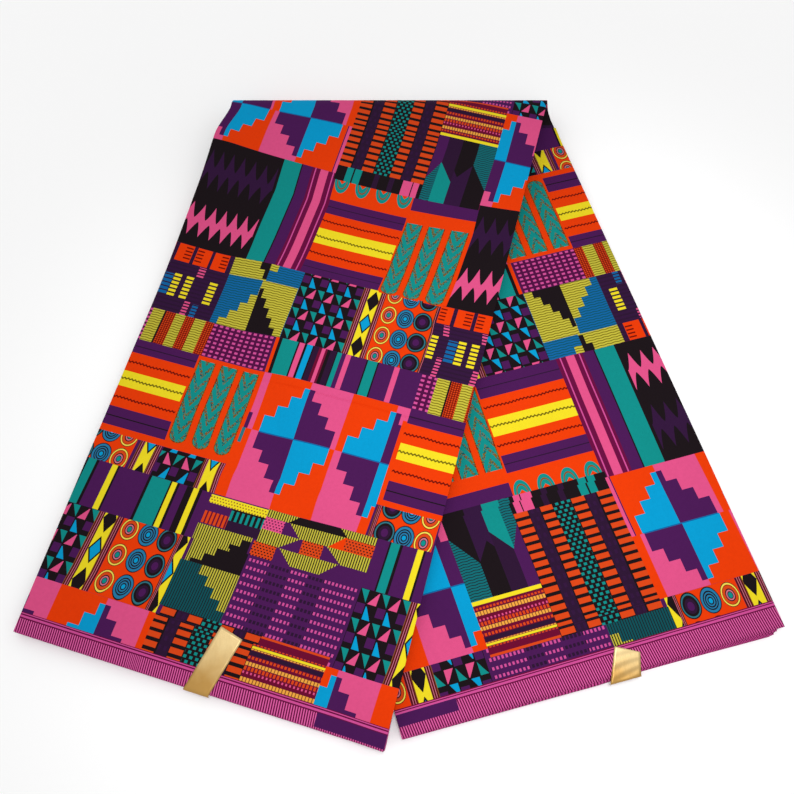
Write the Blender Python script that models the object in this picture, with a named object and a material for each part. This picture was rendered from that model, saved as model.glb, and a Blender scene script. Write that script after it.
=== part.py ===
"""A length of kente print cotton, folded into a narrow pack and folded once over, lying flat.

The pack is one cloth folded to and fro into plies. Its upper tail runs from the fold down to the
left, its lower tail runs from the fold down to the right, and the upper tail lies over the lower one.
Units are metres. Z is up, the cloth rests on z = 0 and the fold lies towards +Y.
"""

import math

import bpy

# Pack and plies
PACK_THICKNESS = 0.0085
PLY_WALL = 0.0012
PLY_GAP = 0.0003
LAYER_RIDGES = 5
RIDGE_DEPTH = 0.0009

# The fold across the top
FOLD_Y = 0.2846
FOLD_HEIGHT = 0.032
FOLD_RADIUS = FOLD_HEIGHT / 2
FOLD_REACH = 0.21
ROLL_STEPS = 9
PLY_ROLL_STEPS = 8
SETTLE_LENGTH = 0.03

# How far the upper tail takes to come down off the lower tail's hidden edge
DROP_WIDTH = 0.048

# Mesh steps
ACROSS = 26
UPPER_STEPS = 30
SETTLE_SHARES = (0.0, 0.02, 0.04, 0.06)
LOWER_STEPS = 15
FOOT_FROM = 0.93
FOOT_STEPS = 5

# Tails, seen from above: the two selvedge corners, and where each edge meets the fold
TAIL_COLUMNS = ("left", "right", "fold_left", "fold_right")
UPPER_TAIL = dict(zip(TAIL_COLUMNS, ((-0.3050, -0.2150), (-0.0120, -0.3010), -0.1740, 0.1470)))
LOWER_TAIL = dict(zip(TAIL_COLUMNS, ((0.0020, -0.2930), (0.3065, -0.2160), -0.1710, 0.1580)))

# The lower tail's face ply is cut back a little right of its label: share of the width, cut back
CUT_BACK_COLUMNS = ("share", "back")
CUT_BACK = tuple(
    dict(zip(CUT_BACK_COLUMNS, row))
    for row in (
        (0.00, 0.0000),
        (0.54, 0.0000),
        (0.62, 0.0046),
        (1.00, 0.0049),
    )
)

# The plies under it are turned a little: short of it on the left, and drawn in at the right corner
FAN_COLUMNS = ("share", "short")
FAN = tuple(
    dict(zip(FAN_COLUMNS, row))
    for row in (
        (0.00, 0.0012),
        (0.50, 0.0008),
        (0.62, 0.0001),
        (1.00, 0.0000),
    )
)
FAN_CORNER = 0.0115
FAN_LENGTH = 0.032

# Labels: corners as share of the width and distance up from the selvedge, on each tail
LABEL_WALL = 0.0005
LABEL_LIFT = 0.0003
LABEL_ROWS = 5
LABEL_COLUMNS = 4
LABEL_DROP = 0.0046
LABEL_REACH = 0.0010
LABEL_FIELDS = ("foot_low", "foot_high", "top_low", "top_high", "up_low", "up_high")
LEFT_LABEL = dict(zip(LABEL_FIELDS, (0.475, 0.542, 0.516, 0.581, 0.0500, 0.0450)))
RIGHT_LABEL = dict(zip(LABEL_FIELDS, (0.527, 0.607, 0.570, 0.626, 0.0240, 0.0150)))

# Colours of the solids
FINISHES = {
    "outer_ply": ((0.80, 0.05, 0.01, 1.0), 0.85, 0.0),
    "inner_ply": ((0.16, 0.02, 0.20, 1.0), 0.85, 0.0),
    "folded_layers": ((0.66, 0.07, 0.36, 1.0), 0.9, 0.0),
    "left_label": ((0.45, 0.28, 0.07, 1.0), 0.35, 0.8),
    "right_label": ((0.45, 0.28, 0.07, 1.0), 0.4, 0.6),
}


def smooth(t):
    """Eases from 0 to 1."""
    t = min(max(t, 0.0), 1.0)
    return t * t * (3.0 - 2.0 * t)


def mix(a, b, t):
    """The value a share t of the way from a to b."""
    return a + (b - a) * t


def mix_points(p, q, t):
    """The point a share t of the way from p to q."""
    return tuple(mix(a, b, t) for a, b in zip(p, q))


def read_table(rows, key, value, at):
    """Reads a short table between its rows."""
    for low, high in zip(rows, rows[1:]):
        if at <= high[key]:
            t = (at - low[key]) / (high[key] - low[key])
            return mix(low[value], high[value], t)
    return rows[-1][value]


def over_lower_tail(x, y):
    """How far a point lies to the right of the lower tail's hidden left edge."""
    top = (LOWER_TAIL["fold_left"], FOLD_Y)
    foot = LOWER_TAIL["left"]
    dx = foot[0] - top[0]
    dy = foot[1] - top[1]
    length = math.hypot(dx, dy)
    return ((x - top[0]) * -dy + (y - top[1]) * dx) / length


def upper_height(x, y):
    """Height of the upper tail's face: on the floor, on the lower tail, and rising to the fold."""
    share = smooth((over_lower_tail(x, y) + DROP_WIDTH) / DROP_WIDTH)
    flat = PACK_THICKNESS + (PACK_THICKNESS + PLY_GAP) * share
    rise = FOLD_HEIGHT - 2 * PACK_THICKNESS - PLY_GAP
    return flat + rise * (1.0 - smooth((FOLD_Y - y) / FOLD_REACH))


def upper_normal(x, y):
    """Direction out of the upper tail's face."""
    step = 0.001
    zx = (upper_height(x + step, y) - upper_height(x - step, y)) / (2 * step)
    zy = (upper_height(x, y + step) - upper_height(x, y - step)) / (2 * step)
    length = math.sqrt(zx * zx + zy * zy + 1.0)
    return (-zx / length, -zy / length, 1.0 / length)


def along(p, direction, distance):
    """The point moved along a direction."""
    return tuple(a + d * distance for a, d in zip(p, direction))


def upper_station(s):
    """Face points and directions across the upper tail, s of the way from selvedge to fold."""
    left = mix_points(UPPER_TAIL["left"], (UPPER_TAIL["fold_left"], FOLD_Y), s)
    right = mix_points(UPPER_TAIL["right"], (UPPER_TAIL["fold_right"], FOLD_Y), s)
    row = []
    for j in range(ACROSS + 1):
        x, y = mix_points(left, right, j / ACROSS)
        row.append(((x, y, upper_height(x, y)), upper_normal(x, y)))
    return row


def roll_station(turn):
    """Face points and directions across the fold, turned from its crest (0) to its foot (pi)."""
    share = turn / math.pi
    left = mix(UPPER_TAIL["fold_left"], LOWER_TAIL["fold_left"], share)
    right = mix(UPPER_TAIL["fold_right"], LOWER_TAIL["fold_right"], share)
    normal = (0.0, math.sin(turn), math.cos(turn))
    row = []
    for j in range(ACROSS + 1):
        centre = (mix(left, right, j / ACROSS), FOLD_Y, FOLD_RADIUS)
        row.append((along(centre, normal, FOLD_RADIUS), normal))
    return row


def lower_point(j, s, foot_left, foot_right):
    """Place across the lower tail, s of the way from fold to selvedge, seen from above."""
    left = mix_points((LOWER_TAIL["fold_left"], FOLD_Y), foot_left, s)
    right = mix_points((LOWER_TAIL["fold_right"], FOLD_Y), foot_right, s)
    return mix_points(left, right, j / ACROSS)


def lower_shares():
    """Shares of the way down the lower tail, closer together at the fold and at the selvedge."""
    start = SETTLE_SHARES[-1]
    shares = list(SETTLE_SHARES)
    shares += [mix(start, FOOT_FROM, i / LOWER_STEPS) for i in range(1, LOWER_STEPS + 1)]
    shares += [mix(FOOT_FROM, 1.0, i / FOOT_STEPS) for i in range(1, FOOT_STEPS + 1)]
    return shares


def lower_lift(y):
    """How far the lower plies still stand off the floor where they come out of the fold."""
    return (PLY_WALL + PLY_GAP) * (1.0 - smooth((FOLD_Y - y) / SETTLE_LENGTH))


def tail_axis(tail, middle_share=0.5):
    """Direction of a tail from its fold down to its selvedge."""
    foot = mix_points(tail["left"], tail["right"], middle_share)
    top = (mix(tail["fold_left"], tail["fold_right"], middle_share), FOLD_Y)
    length = math.hypot(foot[0] - top[0], foot[1] - top[1])
    return ((foot[0] - top[0]) / length, (foot[1] - top[1]) / length)


def slab_ring(outer, inner):
    """A closed ring round the folded layers: outer face, one layered side, inner face, other side."""
    across = []
    for near, far in ((0, 1), (ACROSS, ACROSS - 1)):
        d = tuple(b - a for a, b in zip(outer[near], outer[far]))
        length = math.sqrt(sum(c * c for c in d))
        across.append(tuple(c / length for c in d))
    outer = list(outer)
    inner = list(inner)
    crest = {}
    for side, j in ((0, 0), (1, ACROSS)):
        crest[side] = (outer[j], inner[j])
        outer[j] = along(outer[j], across[side], RIDGE_DEPTH)
        inner[j] = along(inner[j], across[side], RIDGE_DEPTH)
    sides = {}
    for side in (0, 1):
        points = []
        for k in range(1, 3 * LAYER_RIDGES):
            share = (k // 3 + (0.0, 0.22, 0.78)[k % 3]) / LAYER_RIDGES
            p = mix_points(crest[side][0], crest[side][1], share)
            points.append(along(p, across[side], RIDGE_DEPTH if k % 3 == 0 else 0.0))
        sides[side] = points
    return outer, sides[1], inner, sides[0]


def build_object(name, vertices, faces):
    """Makes one named object with its finish."""
    mesh = bpy.data.meshes.new(name)
    mesh.from_pydata([tuple(v) for v in vertices], [], faces)
    mesh.update()
    part = bpy.data.objects.new(name, mesh)
    bpy.context.scene.collection.objects.link(part)
    colour, roughness, metallic = FINISHES[name]
    material = bpy.data.materials.new(name + "_finish")
    material.use_nodes = True
    shader = material.node_tree.nodes["Principled BSDF"]
    shader.inputs["Base Color"].default_value = colour
    shader.inputs["Roughness"].default_value = roughness
    shader.inputs["Metallic"].default_value = metallic
    mesh.materials.append(material)
    return part


def closed_wall(name, outer_rows, inner_rows):
    """A thin closed wall between two grids of points of the same size."""
    rows = len(outer_rows)
    columns = len(outer_rows[0])
    vertices = [p for row in outer_rows for p in row] + [p for row in inner_rows for p in row]
    under = rows * columns
    faces = []
    for i in range(rows - 1):
        for j in range(columns - 1):
            a = i * columns + j
            b = a + 1
            c = a + columns + 1
            d = a + columns
            faces.extend(((a, b, c), (a, c, d)))
            faces.extend(((under + a, under + c, under + b), (under + a, under + d, under + c)))
    rim = [j for j in range(columns)]
    rim += [i * columns + columns - 1 for i in range(1, rows)]
    rim += [(rows - 1) * columns + j for j in range(columns - 2, -1, -1)]
    rim += [i * columns for i in range(rows - 2, 0, -1)]
    for a, b in zip(rim, rim[1:] + rim[:1]):
        faces.append((b, a, under + a, under + b))
    return build_object(name, vertices, faces)


def offset_rows(stations, depth):
    """Each station's face points moved in from the face by a depth."""
    return [[along(p, n, -depth) for p, n in row] for row in stations]


def build_outer_ply():
    """The face of the upper tail, from its selvedge over the fold and down behind it."""
    stations = [upper_station(i / UPPER_STEPS) for i in range(UPPER_STEPS + 1)]
    stations += [roll_station(math.pi * i / ROLL_STEPS) for i in range(1, PLY_ROLL_STEPS)]
    return closed_wall("outer_ply", offset_rows(stations, 0.0), offset_rows(stations, PLY_WALL))


def inner_ply_rows(depth):
    """Rows of the lower tail's face ply, from the fold to the selvedge, at a depth below its face."""
    axis = tail_axis(LOWER_TAIL)
    rows = []
    for s in lower_shares()[1:]:
        row = []
        for j in range(ACROSS + 1):
            x, y = lower_point(j, s, LOWER_TAIL["left"], LOWER_TAIL["right"])
            back = read_table(CUT_BACK, "share", "back", j / ACROSS) * smooth((s - 0.9) / 0.1)
            x = x - axis[0] * back
            y = y - axis[1] * back
            row.append((x, y, PACK_THICKNESS + lower_lift(y) - depth))
        rows.append(row)
    return rows


def build_inner_ply():
    """The face of the lower tail, from its selvedge to the fold, under the upper tail."""
    faces = inner_ply_rows(0.0)
    backs = inner_ply_rows(PLY_WALL)
    return closed_wall("inner_ply", backs, faces)


def slab_stations():
    """Outer and inner points of the folded layers, from the upper selvedge to the lower one."""
    outer_depth = PLY_WALL + PLY_GAP
    pairs = []
    upper = [upper_station(max(i / UPPER_STEPS, 0.002)) for i in range(UPPER_STEPS + 1)]
    roll = [roll_station(math.pi * i / ROLL_STEPS) for i in range(1, ROLL_STEPS)]
    for row in upper + roll:
        outer = [along(p, n, -outer_depth) for p, n in row]
        inner = [along(p, n, -PACK_THICKNESS) for p, n in row]
        pairs.append((outer, inner))
    axis = tail_axis(LOWER_TAIL)
    across = (-axis[1], axis[0])
    length = math.dist((LOWER_TAIL["fold_right"], FOLD_Y), LOWER_TAIL["right"])
    for s in lower_shares():
        outer = []
        inner = []
        for j in range(ACROSS + 1):
            x, y = lower_point(j, s, LOWER_TAIL["left"], LOWER_TAIL["right"])
            share = j / ACROSS
            short = read_table(FAN, "share", "short", share) * smooth((s - 0.9) / 0.1)
            from_foot = (1.0 - s) * length
            drawn_in = max(1.0 - from_foot / FAN_LENGTH, 0.0) ** 2
            corner = FAN_CORNER * drawn_in * smooth((share - 0.7) / 0.3)
            x = x - axis[0] * short - across[0] * corner
            y = y - axis[1] * short - across[1] * corner
            lift = lower_lift(y)
            outer.append((x, y, lift))
            inner.append((x, y, lift + PACK_THICKNESS - PLY_WALL - PLY_GAP))
        pairs.append((outer, inner))
    return pairs


def build_folded_layers():
    """The hidden plies as one solid, folded over at the top and layered at its edges."""
    rings = []
    for outer, inner in slab_stations():
        top, right, bottom, left = slab_ring(outer, inner)
        rings.append((top, right, bottom, left))
    vertices = []
    loops = []
    for top, right, bottom, left in rings:
        start = len(vertices)
        ring = list(top) + list(right) + list(reversed(bottom)) + list(reversed(left))
        vertices.extend(ring)
        loops.append(list(range(start, start + len(ring))))
    faces = []
    for a, b in zip(loops, loops[1:]):
        for k in range(len(a)):
            m = (k + 1) % len(a)
            faces.extend(((a[k], a[m], b[m]), (a[k], b[m], b[k])))
    for end in (0, -1):
        faces.extend(layered_end(vertices, rings[end], loops[end], end))
    return build_object("folded_layers", vertices, faces)


def layered_end(vertices, ring, loop, end):
    """Closes one selvedge end of the folded layers with the same ridges as its sides."""
    top, right, bottom, left = ring
    rows = 3 * LAYER_RIDGES
    axis = tail_axis(UPPER_TAIL if end == 0 else LOWER_TAIL)
    count = len(loop)
    grid = []
    for k in range(rows + 1):
        line = []
        for j in range(ACROSS + 1):
            if k == 0:
                line.append(loop[j])
            elif k == rows:
                line.append(loop[ACROSS + rows + (ACROSS - j)])
            elif j == ACROSS:
                line.append(loop[ACROSS + k])
            elif j == 0:
                line.append(loop[count - k])
            else:
                share = (k // 3 + (0.0, 0.22, 0.78)[k % 3]) / LAYER_RIDGES
                p = mix_points(top[j], bottom[j], share)
                push = 0.0 if k % 3 == 0 else RIDGE_DEPTH
                vertices.append((p[0] + axis[0] * push, p[1] + axis[1] * push, p[2]))
                line.append(len(vertices) - 1)
        grid.append(line)
    faces = []
    for k in range(rows):
        for j in range(ACROSS):
            quad = (grid[k][j], grid[k][j + 1], grid[k + 1][j + 1], grid[k + 1][j])
            faces.append(quad if end == -1 else tuple(reversed(quad)))
    return faces


def label_rows(tail, label, face_point, depth):
    """Rows of a label from its inner end to the selvedge, then down over the pack's edge."""
    axis = tail_axis(tail)
    rows = []
    for i in range(LABEL_ROWS + 1):
        t = i / LABEL_ROWS
        row = []
        for j in range(LABEL_COLUMNS + 1):
            w = j / LABEL_COLUMNS
            up = mix(label["up_low"], label["up_high"], w) * (1.0 - t)
            top = mix(label["top_low"], label["top_high"], w)
            foot = mix(label["foot_low"], label["foot_high"], w)
            row.append(face_point(mix(top, foot, t), up - LABEL_REACH * t, LABEL_LIFT + LABEL_WALL - depth))
        rows.append(row)
    for drop in (0.35, 1.0):
        row = []
        for j in range(LABEL_COLUMNS + 1):
            w = j / LABEL_COLUMNS
            share = mix(label["foot_low"], label["foot_high"], w)
            x, y, z = face_point(share, 0.0, 0.0)
            reach = LABEL_REACH + LABEL_LIFT + LABEL_WALL - depth
            row.append((x + axis[0] * reach, y + axis[1] * reach, z - LABEL_DROP * drop))
        rows.append(row)
    return rows


def upper_face_point(share, up, lift):
    """A point on the upper tail's face: share across, distance up from the selvedge, and lift off it."""
    foot = mix_points(UPPER_TAIL["left"], UPPER_TAIL["right"], share)
    axis = tail_axis(UPPER_TAIL, share)
    x = foot[0] - axis[0] * up
    y = foot[1] - axis[1] * up
    return along((x, y, upper_height(x, y)), upper_normal(x, y), lift)


def lower_face_point(share, up, lift):
    """A point on the lower tail's face: share across, distance up from the selvedge, and lift off it."""
    foot = mix_points(LOWER_TAIL["left"], LOWER_TAIL["right"], share)
    axis = tail_axis(LOWER_TAIL, share)
    x = foot[0] - axis[0] * up
    y = foot[1] - axis[1] * up
    return (x, y, PACK_THICKNESS + lift)


def build_label(name, tail, label, face_point):
    """A thin label stuck on a tail's face and folded down over its selvedge."""
    outside = label_rows(tail, label, face_point, 0.0)
    inside = label_rows(tail, label, face_point, LABEL_WALL)
    return closed_wall(name, inside, outside)


def main():
    """Clears the scene and builds every piece of the cloth."""
    for old in list(bpy.data.objects):
        bpy.data.objects.remove(old, do_unlink=True)
    build_outer_ply()
    build_inner_ply()
    build_folded_layers()
    build_label("left_label", UPPER_TAIL, LEFT_LABEL, upper_face_point)
    build_label("right_label", LOWER_TAIL, RIGHT_LABEL, lower_face_point)


main()
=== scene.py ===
"""A length of kente print cotton, folded into a narrow flat pack and folded once over, lying flat.

The pack is one printed cloth, folded to and fro into plies. Its upper tail runs from the fold down
to the left and lies over its lower tail, which runs down to the right. Each tail ends in the cloth's
pink ticked selvedge, and carries a plain band of gold foil. Lengths are in metres, except on the
chart of the print, in its motifs and in the creases, which are in millimetres.
"""

import logging
import math
from dataclasses import dataclass, field
from enum import Enum

import bmesh
import bpy
import numpy as np
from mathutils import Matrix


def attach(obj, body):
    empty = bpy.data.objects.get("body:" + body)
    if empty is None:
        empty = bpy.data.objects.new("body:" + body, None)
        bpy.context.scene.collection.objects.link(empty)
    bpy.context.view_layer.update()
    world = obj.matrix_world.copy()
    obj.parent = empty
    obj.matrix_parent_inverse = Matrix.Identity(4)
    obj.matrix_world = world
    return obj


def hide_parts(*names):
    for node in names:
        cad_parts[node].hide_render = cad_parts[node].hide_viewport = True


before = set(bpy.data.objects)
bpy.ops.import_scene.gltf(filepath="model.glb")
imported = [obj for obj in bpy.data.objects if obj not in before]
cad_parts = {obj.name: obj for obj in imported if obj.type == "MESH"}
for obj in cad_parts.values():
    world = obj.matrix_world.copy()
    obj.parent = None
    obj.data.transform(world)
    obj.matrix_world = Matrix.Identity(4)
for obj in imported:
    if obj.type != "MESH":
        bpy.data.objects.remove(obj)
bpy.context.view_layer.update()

LOG = logging.getLogger("kente")
MM = 0.001


class Dye(Enum):
    """The colours of the print, as they look in daylight."""

    ORANGE = "D43501"
    RUNG = "C43E12"
    PINK = "CB497A"
    PURPLE = "42144B"
    DUSK = "27102C"
    SKY = "018CBC"
    TEAL = "0A7E7A"
    PINE = "08474E"
    YELLOW = "D9C61F"
    AMBER = "D9963A"
    OLIVE = "B3AA37"
    BLACK = "160E12"
    BLUE = "0C5991"
    RING = "216D95"
    WINE = "600629"
    MAGENTA = "5E0838"
    TICK = "BD4788"
    RUST = "794723"
    OXBLOOD = "670A02"
    MOSS = "675C0C"
    PLUM = "490A3B"
    SHADE = "2C1134"
    SLATE = "2A6672"
    CREAM = "D9C24A"
    PALE = "CF5898"
    LAKE = "0C5F66"
    CLARET = "4A0A0C"
    ROSE = "B8667A"

    @property
    def rgba(self) -> tuple[float, float, float, float]:
        """The colour as linear light.

        Returns:
            Red, green, blue and opacity.
        """
        parts = [int(self.value[k : k + 2], 16) / 255 for k in (0, 2, 4)]
        linear = [c / 12.92 if c <= 0.04045 else ((c + 0.055) / 1.055) ** 2.4 for c in parts]
        return (linear[0], linear[1], linear[2], 1.0)


class Value:
    """What a node gives: arithmetic on it adds the nodes that work it out. A mask is 1 or 0."""

    def __init__(self, tree: "Tree", socket: bpy.types.NodeSocket) -> None:
        """Holds a node's output and the tree that it is in."""
        self.tree = tree
        self.socket = socket

    def __add__(self, other: "Number") -> "Value":
        """The sum."""
        return self.tree.math("ADD", self, other)

    def __sub__(self, other: "Number") -> "Value":
        """The difference."""
        return self.tree.math("SUBTRACT", self, other)

    def __rsub__(self, other: float) -> "Value":
        """The difference."""
        return self.tree.math("SUBTRACT", other, self)

    def __mul__(self, other: "Number") -> "Value":
        """The product, or of two masks, where both hold."""
        return self.tree.math("MULTIPLY", self, other)

    def __rmul__(self, other: float) -> "Value":
        """The product."""
        return self.tree.math("MULTIPLY", other, self)

    def __truediv__(self, other: "Number") -> "Value":
        """The quotient."""
        return self.tree.math("DIVIDE", self, other)

    def __pow__(self, power: float) -> "Value":
        """The power."""
        return self.tree.math("POWER", self, power)

    def __abs__(self) -> "Value":
        """The size without the sign."""
        return self.tree.math("ABSOLUTE", self)

    def __lt__(self, other: "Number") -> "Value":
        """A mask: where this is below the other."""
        return self.tree.math("LESS_THAN", self, other)

    def __gt__(self, other: "Number") -> "Value":
        """A mask: where the other is below this."""
        return self.tree.math("LESS_THAN", other, self)

    def __or__(self, other: "Value") -> "Value":
        """A mask: where one of two masks holds."""
        return self.tree.math("MAXIMUM", self, other)

    def at_least(self, floor: "Number") -> "Value":
        """The larger of the two."""
        return self.tree.math("MAXIMUM", self, floor)

    def at_most(self, ceiling: "Number") -> "Value":
        """The smaller of the two."""
        return self.tree.math("MINIMUM", self, ceiling)

    def sine(self) -> "Value":
        """The sine."""
        return self.tree.math("SINE", self)

    def root(self) -> "Value":
        """The square root."""
        return self.tree.math("SQRT", self)

    def within(self, low: float, high: float) -> "Value":
        """A mask: where this lies between two values."""
        return abs(self - (low + high) / 2) < (high - low) / 2

    def turn(self, pitch: float) -> "Value":
        """The share of the way through each repeat, from 0 to 1."""
        return self.tree.math("FRACT", self / pitch)

    def count(self, pitch: float) -> "Value":
        """The number of whole repeats."""
        return self.tree.math("FLOOR", self / pitch)


Number = Value | float
Colour = Value | Dye | tuple


class Tree:
    """Builds the nodes of one material."""

    def __init__(self, name: str) -> None:
        """Starts an empty material.

        Args:
            name: The material's name.
        """
        self.material = bpy.data.materials.new(name)
        self.material.use_nodes = True
        self.nodes = self.material.node_tree.nodes
        self.links = self.material.node_tree.links
        self.nodes.clear()

    def node(self, kind: str, **settings: str) -> bpy.types.Node:
        """Adds a node.

        Args:
            kind: The node's type.
            settings: Its settings, by name.

        Returns:
            The node.
        """
        made = self.nodes.new(kind)
        for key, value in settings.items():
            setattr(made, key, value)
        return made

    def feed(self, socket: bpy.types.NodeSocket, value: Number | Colour) -> None:
        """Links a socket to a value, or sets it.

        Args:
            socket: A node's input.
            value: What it takes.
        """
        if isinstance(value, Value):
            self.links.new(value.socket, socket)
        else:
            socket.default_value = value.rgba if isinstance(value, Dye) else value

    def math(self, operation: str, *values: Number) -> Value:
        """One step of arithmetic.

        Args:
            operation: The node's operation.
            values: What it works on.

        Returns:
            The result.
        """
        made = self.node("ShaderNodeMath", operation=operation)
        for socket, value in zip(made.inputs, values):
            self.feed(socket, value)
        return Value(self, made.outputs[0])

    def mix(self, mask: Number, under: Colour, over: Colour) -> Value:
        """Lays one colour over another.

        Args:
            mask: Where the upper one lies.
            under: The lower colour.
            over: The upper colour.

        Returns:
            The colour that shows.
        """
        made = self.node("ShaderNodeMix", data_type="RGBA")
        for socket, value in zip((made.inputs[0], made.inputs[6], made.inputs[7]), (mask, under, over)):
            self.feed(socket, value)
        return Value(self, made.outputs[2])

    def paint(self, ground: Colour, *coats: tuple[Value, Colour]) -> Colour:
        """Lays colours over a ground.

        Args:
            ground: The lowest colour.
            coats: The mask and the colour of each further one, from the lowest up.

        Returns:
            The colour that shows.
        """
        for mask, colour in coats:
            ground = self.mix(mask, ground, colour)
        return ground

    def map(self, name: str) -> tuple[Value, Value]:
        """The two coordinates of one of the piece's own maps."""
        return self.parts(self.node("ShaderNodeUVMap", uv_map=name).outputs[0])[:2]

    def parts(self, place: bpy.types.NodeSocket) -> tuple[Value, Value, Value]:
        """The three coordinates of a place.

        Args:
            place: The place.

        Returns:
            Its x, y and z.
        """
        split = self.node("ShaderNodeSeparateXYZ")
        self.links.new(place, split.inputs[0])
        return tuple(Value(self, out) for out in split.outputs)

    def flecks(self, x: Value, y: Value) -> Value:
        """A random value from 0 to 1 for each pair of whole numbers.

        Args:
            x: The first number.
            y: The second number.

        Returns:
            The value.
        """
        join = self.node("ShaderNodeCombineXYZ")
        noise = self.node("ShaderNodeTexWhiteNoise", noise_dimensions="2D")
        self.feed(join.inputs[0], x)
        self.feed(join.inputs[1], y)
        self.links.new(join.outputs[0], noise.inputs[0])
        return Value(self, noise.outputs["Value"])

    def noise(self, scale: float, detail: float = 2.0, stretch: tuple = (1.0, 1.0, 1.0)) -> Value:
        """Noise fixed to the piece.

        Args:
            scale: Repeats to the metre.
            detail: Octaves.
            stretch: How much closer it is along each axis.

        Returns:
            The noise, about 0.5 on average.
        """
        mapping = self.node("ShaderNodeMapping")
        self.links.new(self.node("ShaderNodeTexCoord").outputs["Object"], mapping.inputs["Vector"])
        mapping.inputs["Scale"].default_value = stretch
        made = self.node("ShaderNodeTexNoise")
        self.links.new(mapping.outputs[0], made.inputs["Vector"])
        made.inputs["Scale"].default_value = scale
        made.inputs["Detail"].default_value = detail
        return Value(self, made.outputs["Fac"])

    def toned(self, colour: Colour, tone: Value) -> Value:
        """A colour made lighter or darker.

        Args:
            colour: The colour.
            tone: What it is multiplied by.

        Returns:
            The new colour.
        """
        made = self.node("ShaderNodeVectorMath", operation="SCALE")
        self.feed(made.inputs[0], colour.rgba[:3] if isinstance(colour, Dye) else colour)
        self.feed(made.inputs["Scale"], tone)
        return Value(self, made.outputs[0])

    def shader(
        self, colour: Value, height: Value, bump: float, distance: float, settings: dict[str, float]
    ) -> bpy.types.Material:
        """Finishes the material.

        Args:
            colour: The base colour.
            height: What the bump reads.
            bump: The bump's strength.
            distance: The bump's depth in metres.
            settings: Values of the shader's other sockets.

        Returns:
            The material.
        """
        out = self.node("ShaderNodeOutputMaterial")
        shader = self.node("ShaderNodeBsdfPrincipled")
        made = self.node("ShaderNodeBump")
        self.feed(shader.inputs["Base Color"], colour)
        for key, value in settings.items():
            self.feed(shader.inputs[key], value)
        self.feed(made.inputs["Strength"], bump)
        self.feed(made.inputs["Distance"], distance)
        self.feed(made.inputs["Height"], height)
        self.links.new(made.outputs[0], shader.inputs["Normal"])
        self.links.new(shader.outputs[0], out.inputs[0])
        return self.material


@dataclass(frozen=True)
class Cotton:
    """Printed cotton. Each motif of the print is one kind of it, and colour() draws the motif."""

    name: str

    def colour(self, tree: Tree) -> Colour:
        """The motif's colours."""
        return Dye.PURPLE

    def material(self) -> bpy.types.Material:
        """Matt cotton in the motif's colours, with its plain weave and a little unevenness.

        Returns:
            The material.
        """
        tree = Tree(self.name)
        x, y = tree.map("chart")
        thread = 2 * math.pi / 0.55
        weave = (x * thread).sine() * (y * thread).sine()
        slub = tree.noise(420.0, 1.0)
        tone = tree.noise(14.0) * 0.10 + slub * 0.12 + weave * 0.025 + 0.89
        look = {"Roughness": 0.85, "Specular IOR Level": 0.06, "Sheen Weight": 0.0}
        return tree.shader(tree.toned(self.colour(tree), tone), weave * 0.5 + slub, 0.35, 0.00006, look)


@dataclass(frozen=True)
class Plain(Cotton):
    """One flat colour."""

    dye: Dye = Dye.PURPLE

    def colour(self, tree: Tree) -> Colour:
        """The one colour."""
        return self.dye


@dataclass(frozen=True)
class Marks(Cotton):
    """Rows of short marks: dashes, dots, rungs, teeth, checks or a basket of squares."""

    ground: Dye = Dye.PURPLE
    mark: Dye = Dye.PINK
    pitch_x: float = 4.0
    pitch_y: float = 6.0
    fill_x: float = 0.6
    fill_y: float = 0.4
    stagger: float = 0.0
    slant: float = 0.0

    def colour(self, tree: Tree) -> Colour:
        """Marks on their ground.

        Args:
            tree: The nodes.

        Returns:
            The colour.
        """
        x, y = tree.map("motif")
        if self.slant:
            x = x + y * self.slant
        if self.stagger:
            x = x + y.count(self.pitch_y) * (self.stagger * self.pitch_x)
        mask = y.turn(self.pitch_y) < self.fill_y
        if self.fill_x < 1.0:
            mask = mask * (x.turn(self.pitch_x) < self.fill_x)
        return tree.mix(mask, self.ground, self.mark)


@dataclass(frozen=True)
class Lines(Cotton):
    """Two dusty pink lines on dark red, lengthwise beside a strip of lozenges."""

    width: float = 5.5

    def colour(self, tree: Tree) -> Colour:
        """The lines on their ground.

        Args:
            tree: The nodes.

        Returns:
            The colour.
        """
        share = tree.map("motif")[0] / self.width
        pale = share.within(0.34, 0.44) | share.within(0.68, 0.78)
        return tree.paint(Dye.CLARET, (pale, Dye.ROSE), (share < 0.12, Dye.RUST))


@dataclass(frozen=True)
class Rings(Cotton):
    """A column of rings, one above another, each ring a few bands of colour."""

    bands: tuple = ()
    centre_x: float = 8.3
    centre_y: float = 11.0
    pitch_y: float = 22.0
    reach_x: float = 7.9
    reach_y: float = 9.4

    def colour(self, tree: Tree) -> Colour:
        """Rings on orange.

        Args:
            tree: The nodes.

        Returns:
            The colour.
        """
        x, y = tree.map("motif")
        half = self.pitch_y / 2
        side = (x - self.centre_x) / self.reach_x
        up = ((y - (self.centre_y - half)).turn(self.pitch_y) * self.pitch_y - half) / self.reach_y
        radius = (side * side + up * up).root()
        return tree.paint(Dye.ORANGE, *((radius < reach, dye) for reach, dye in reversed(self.bands)))


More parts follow.
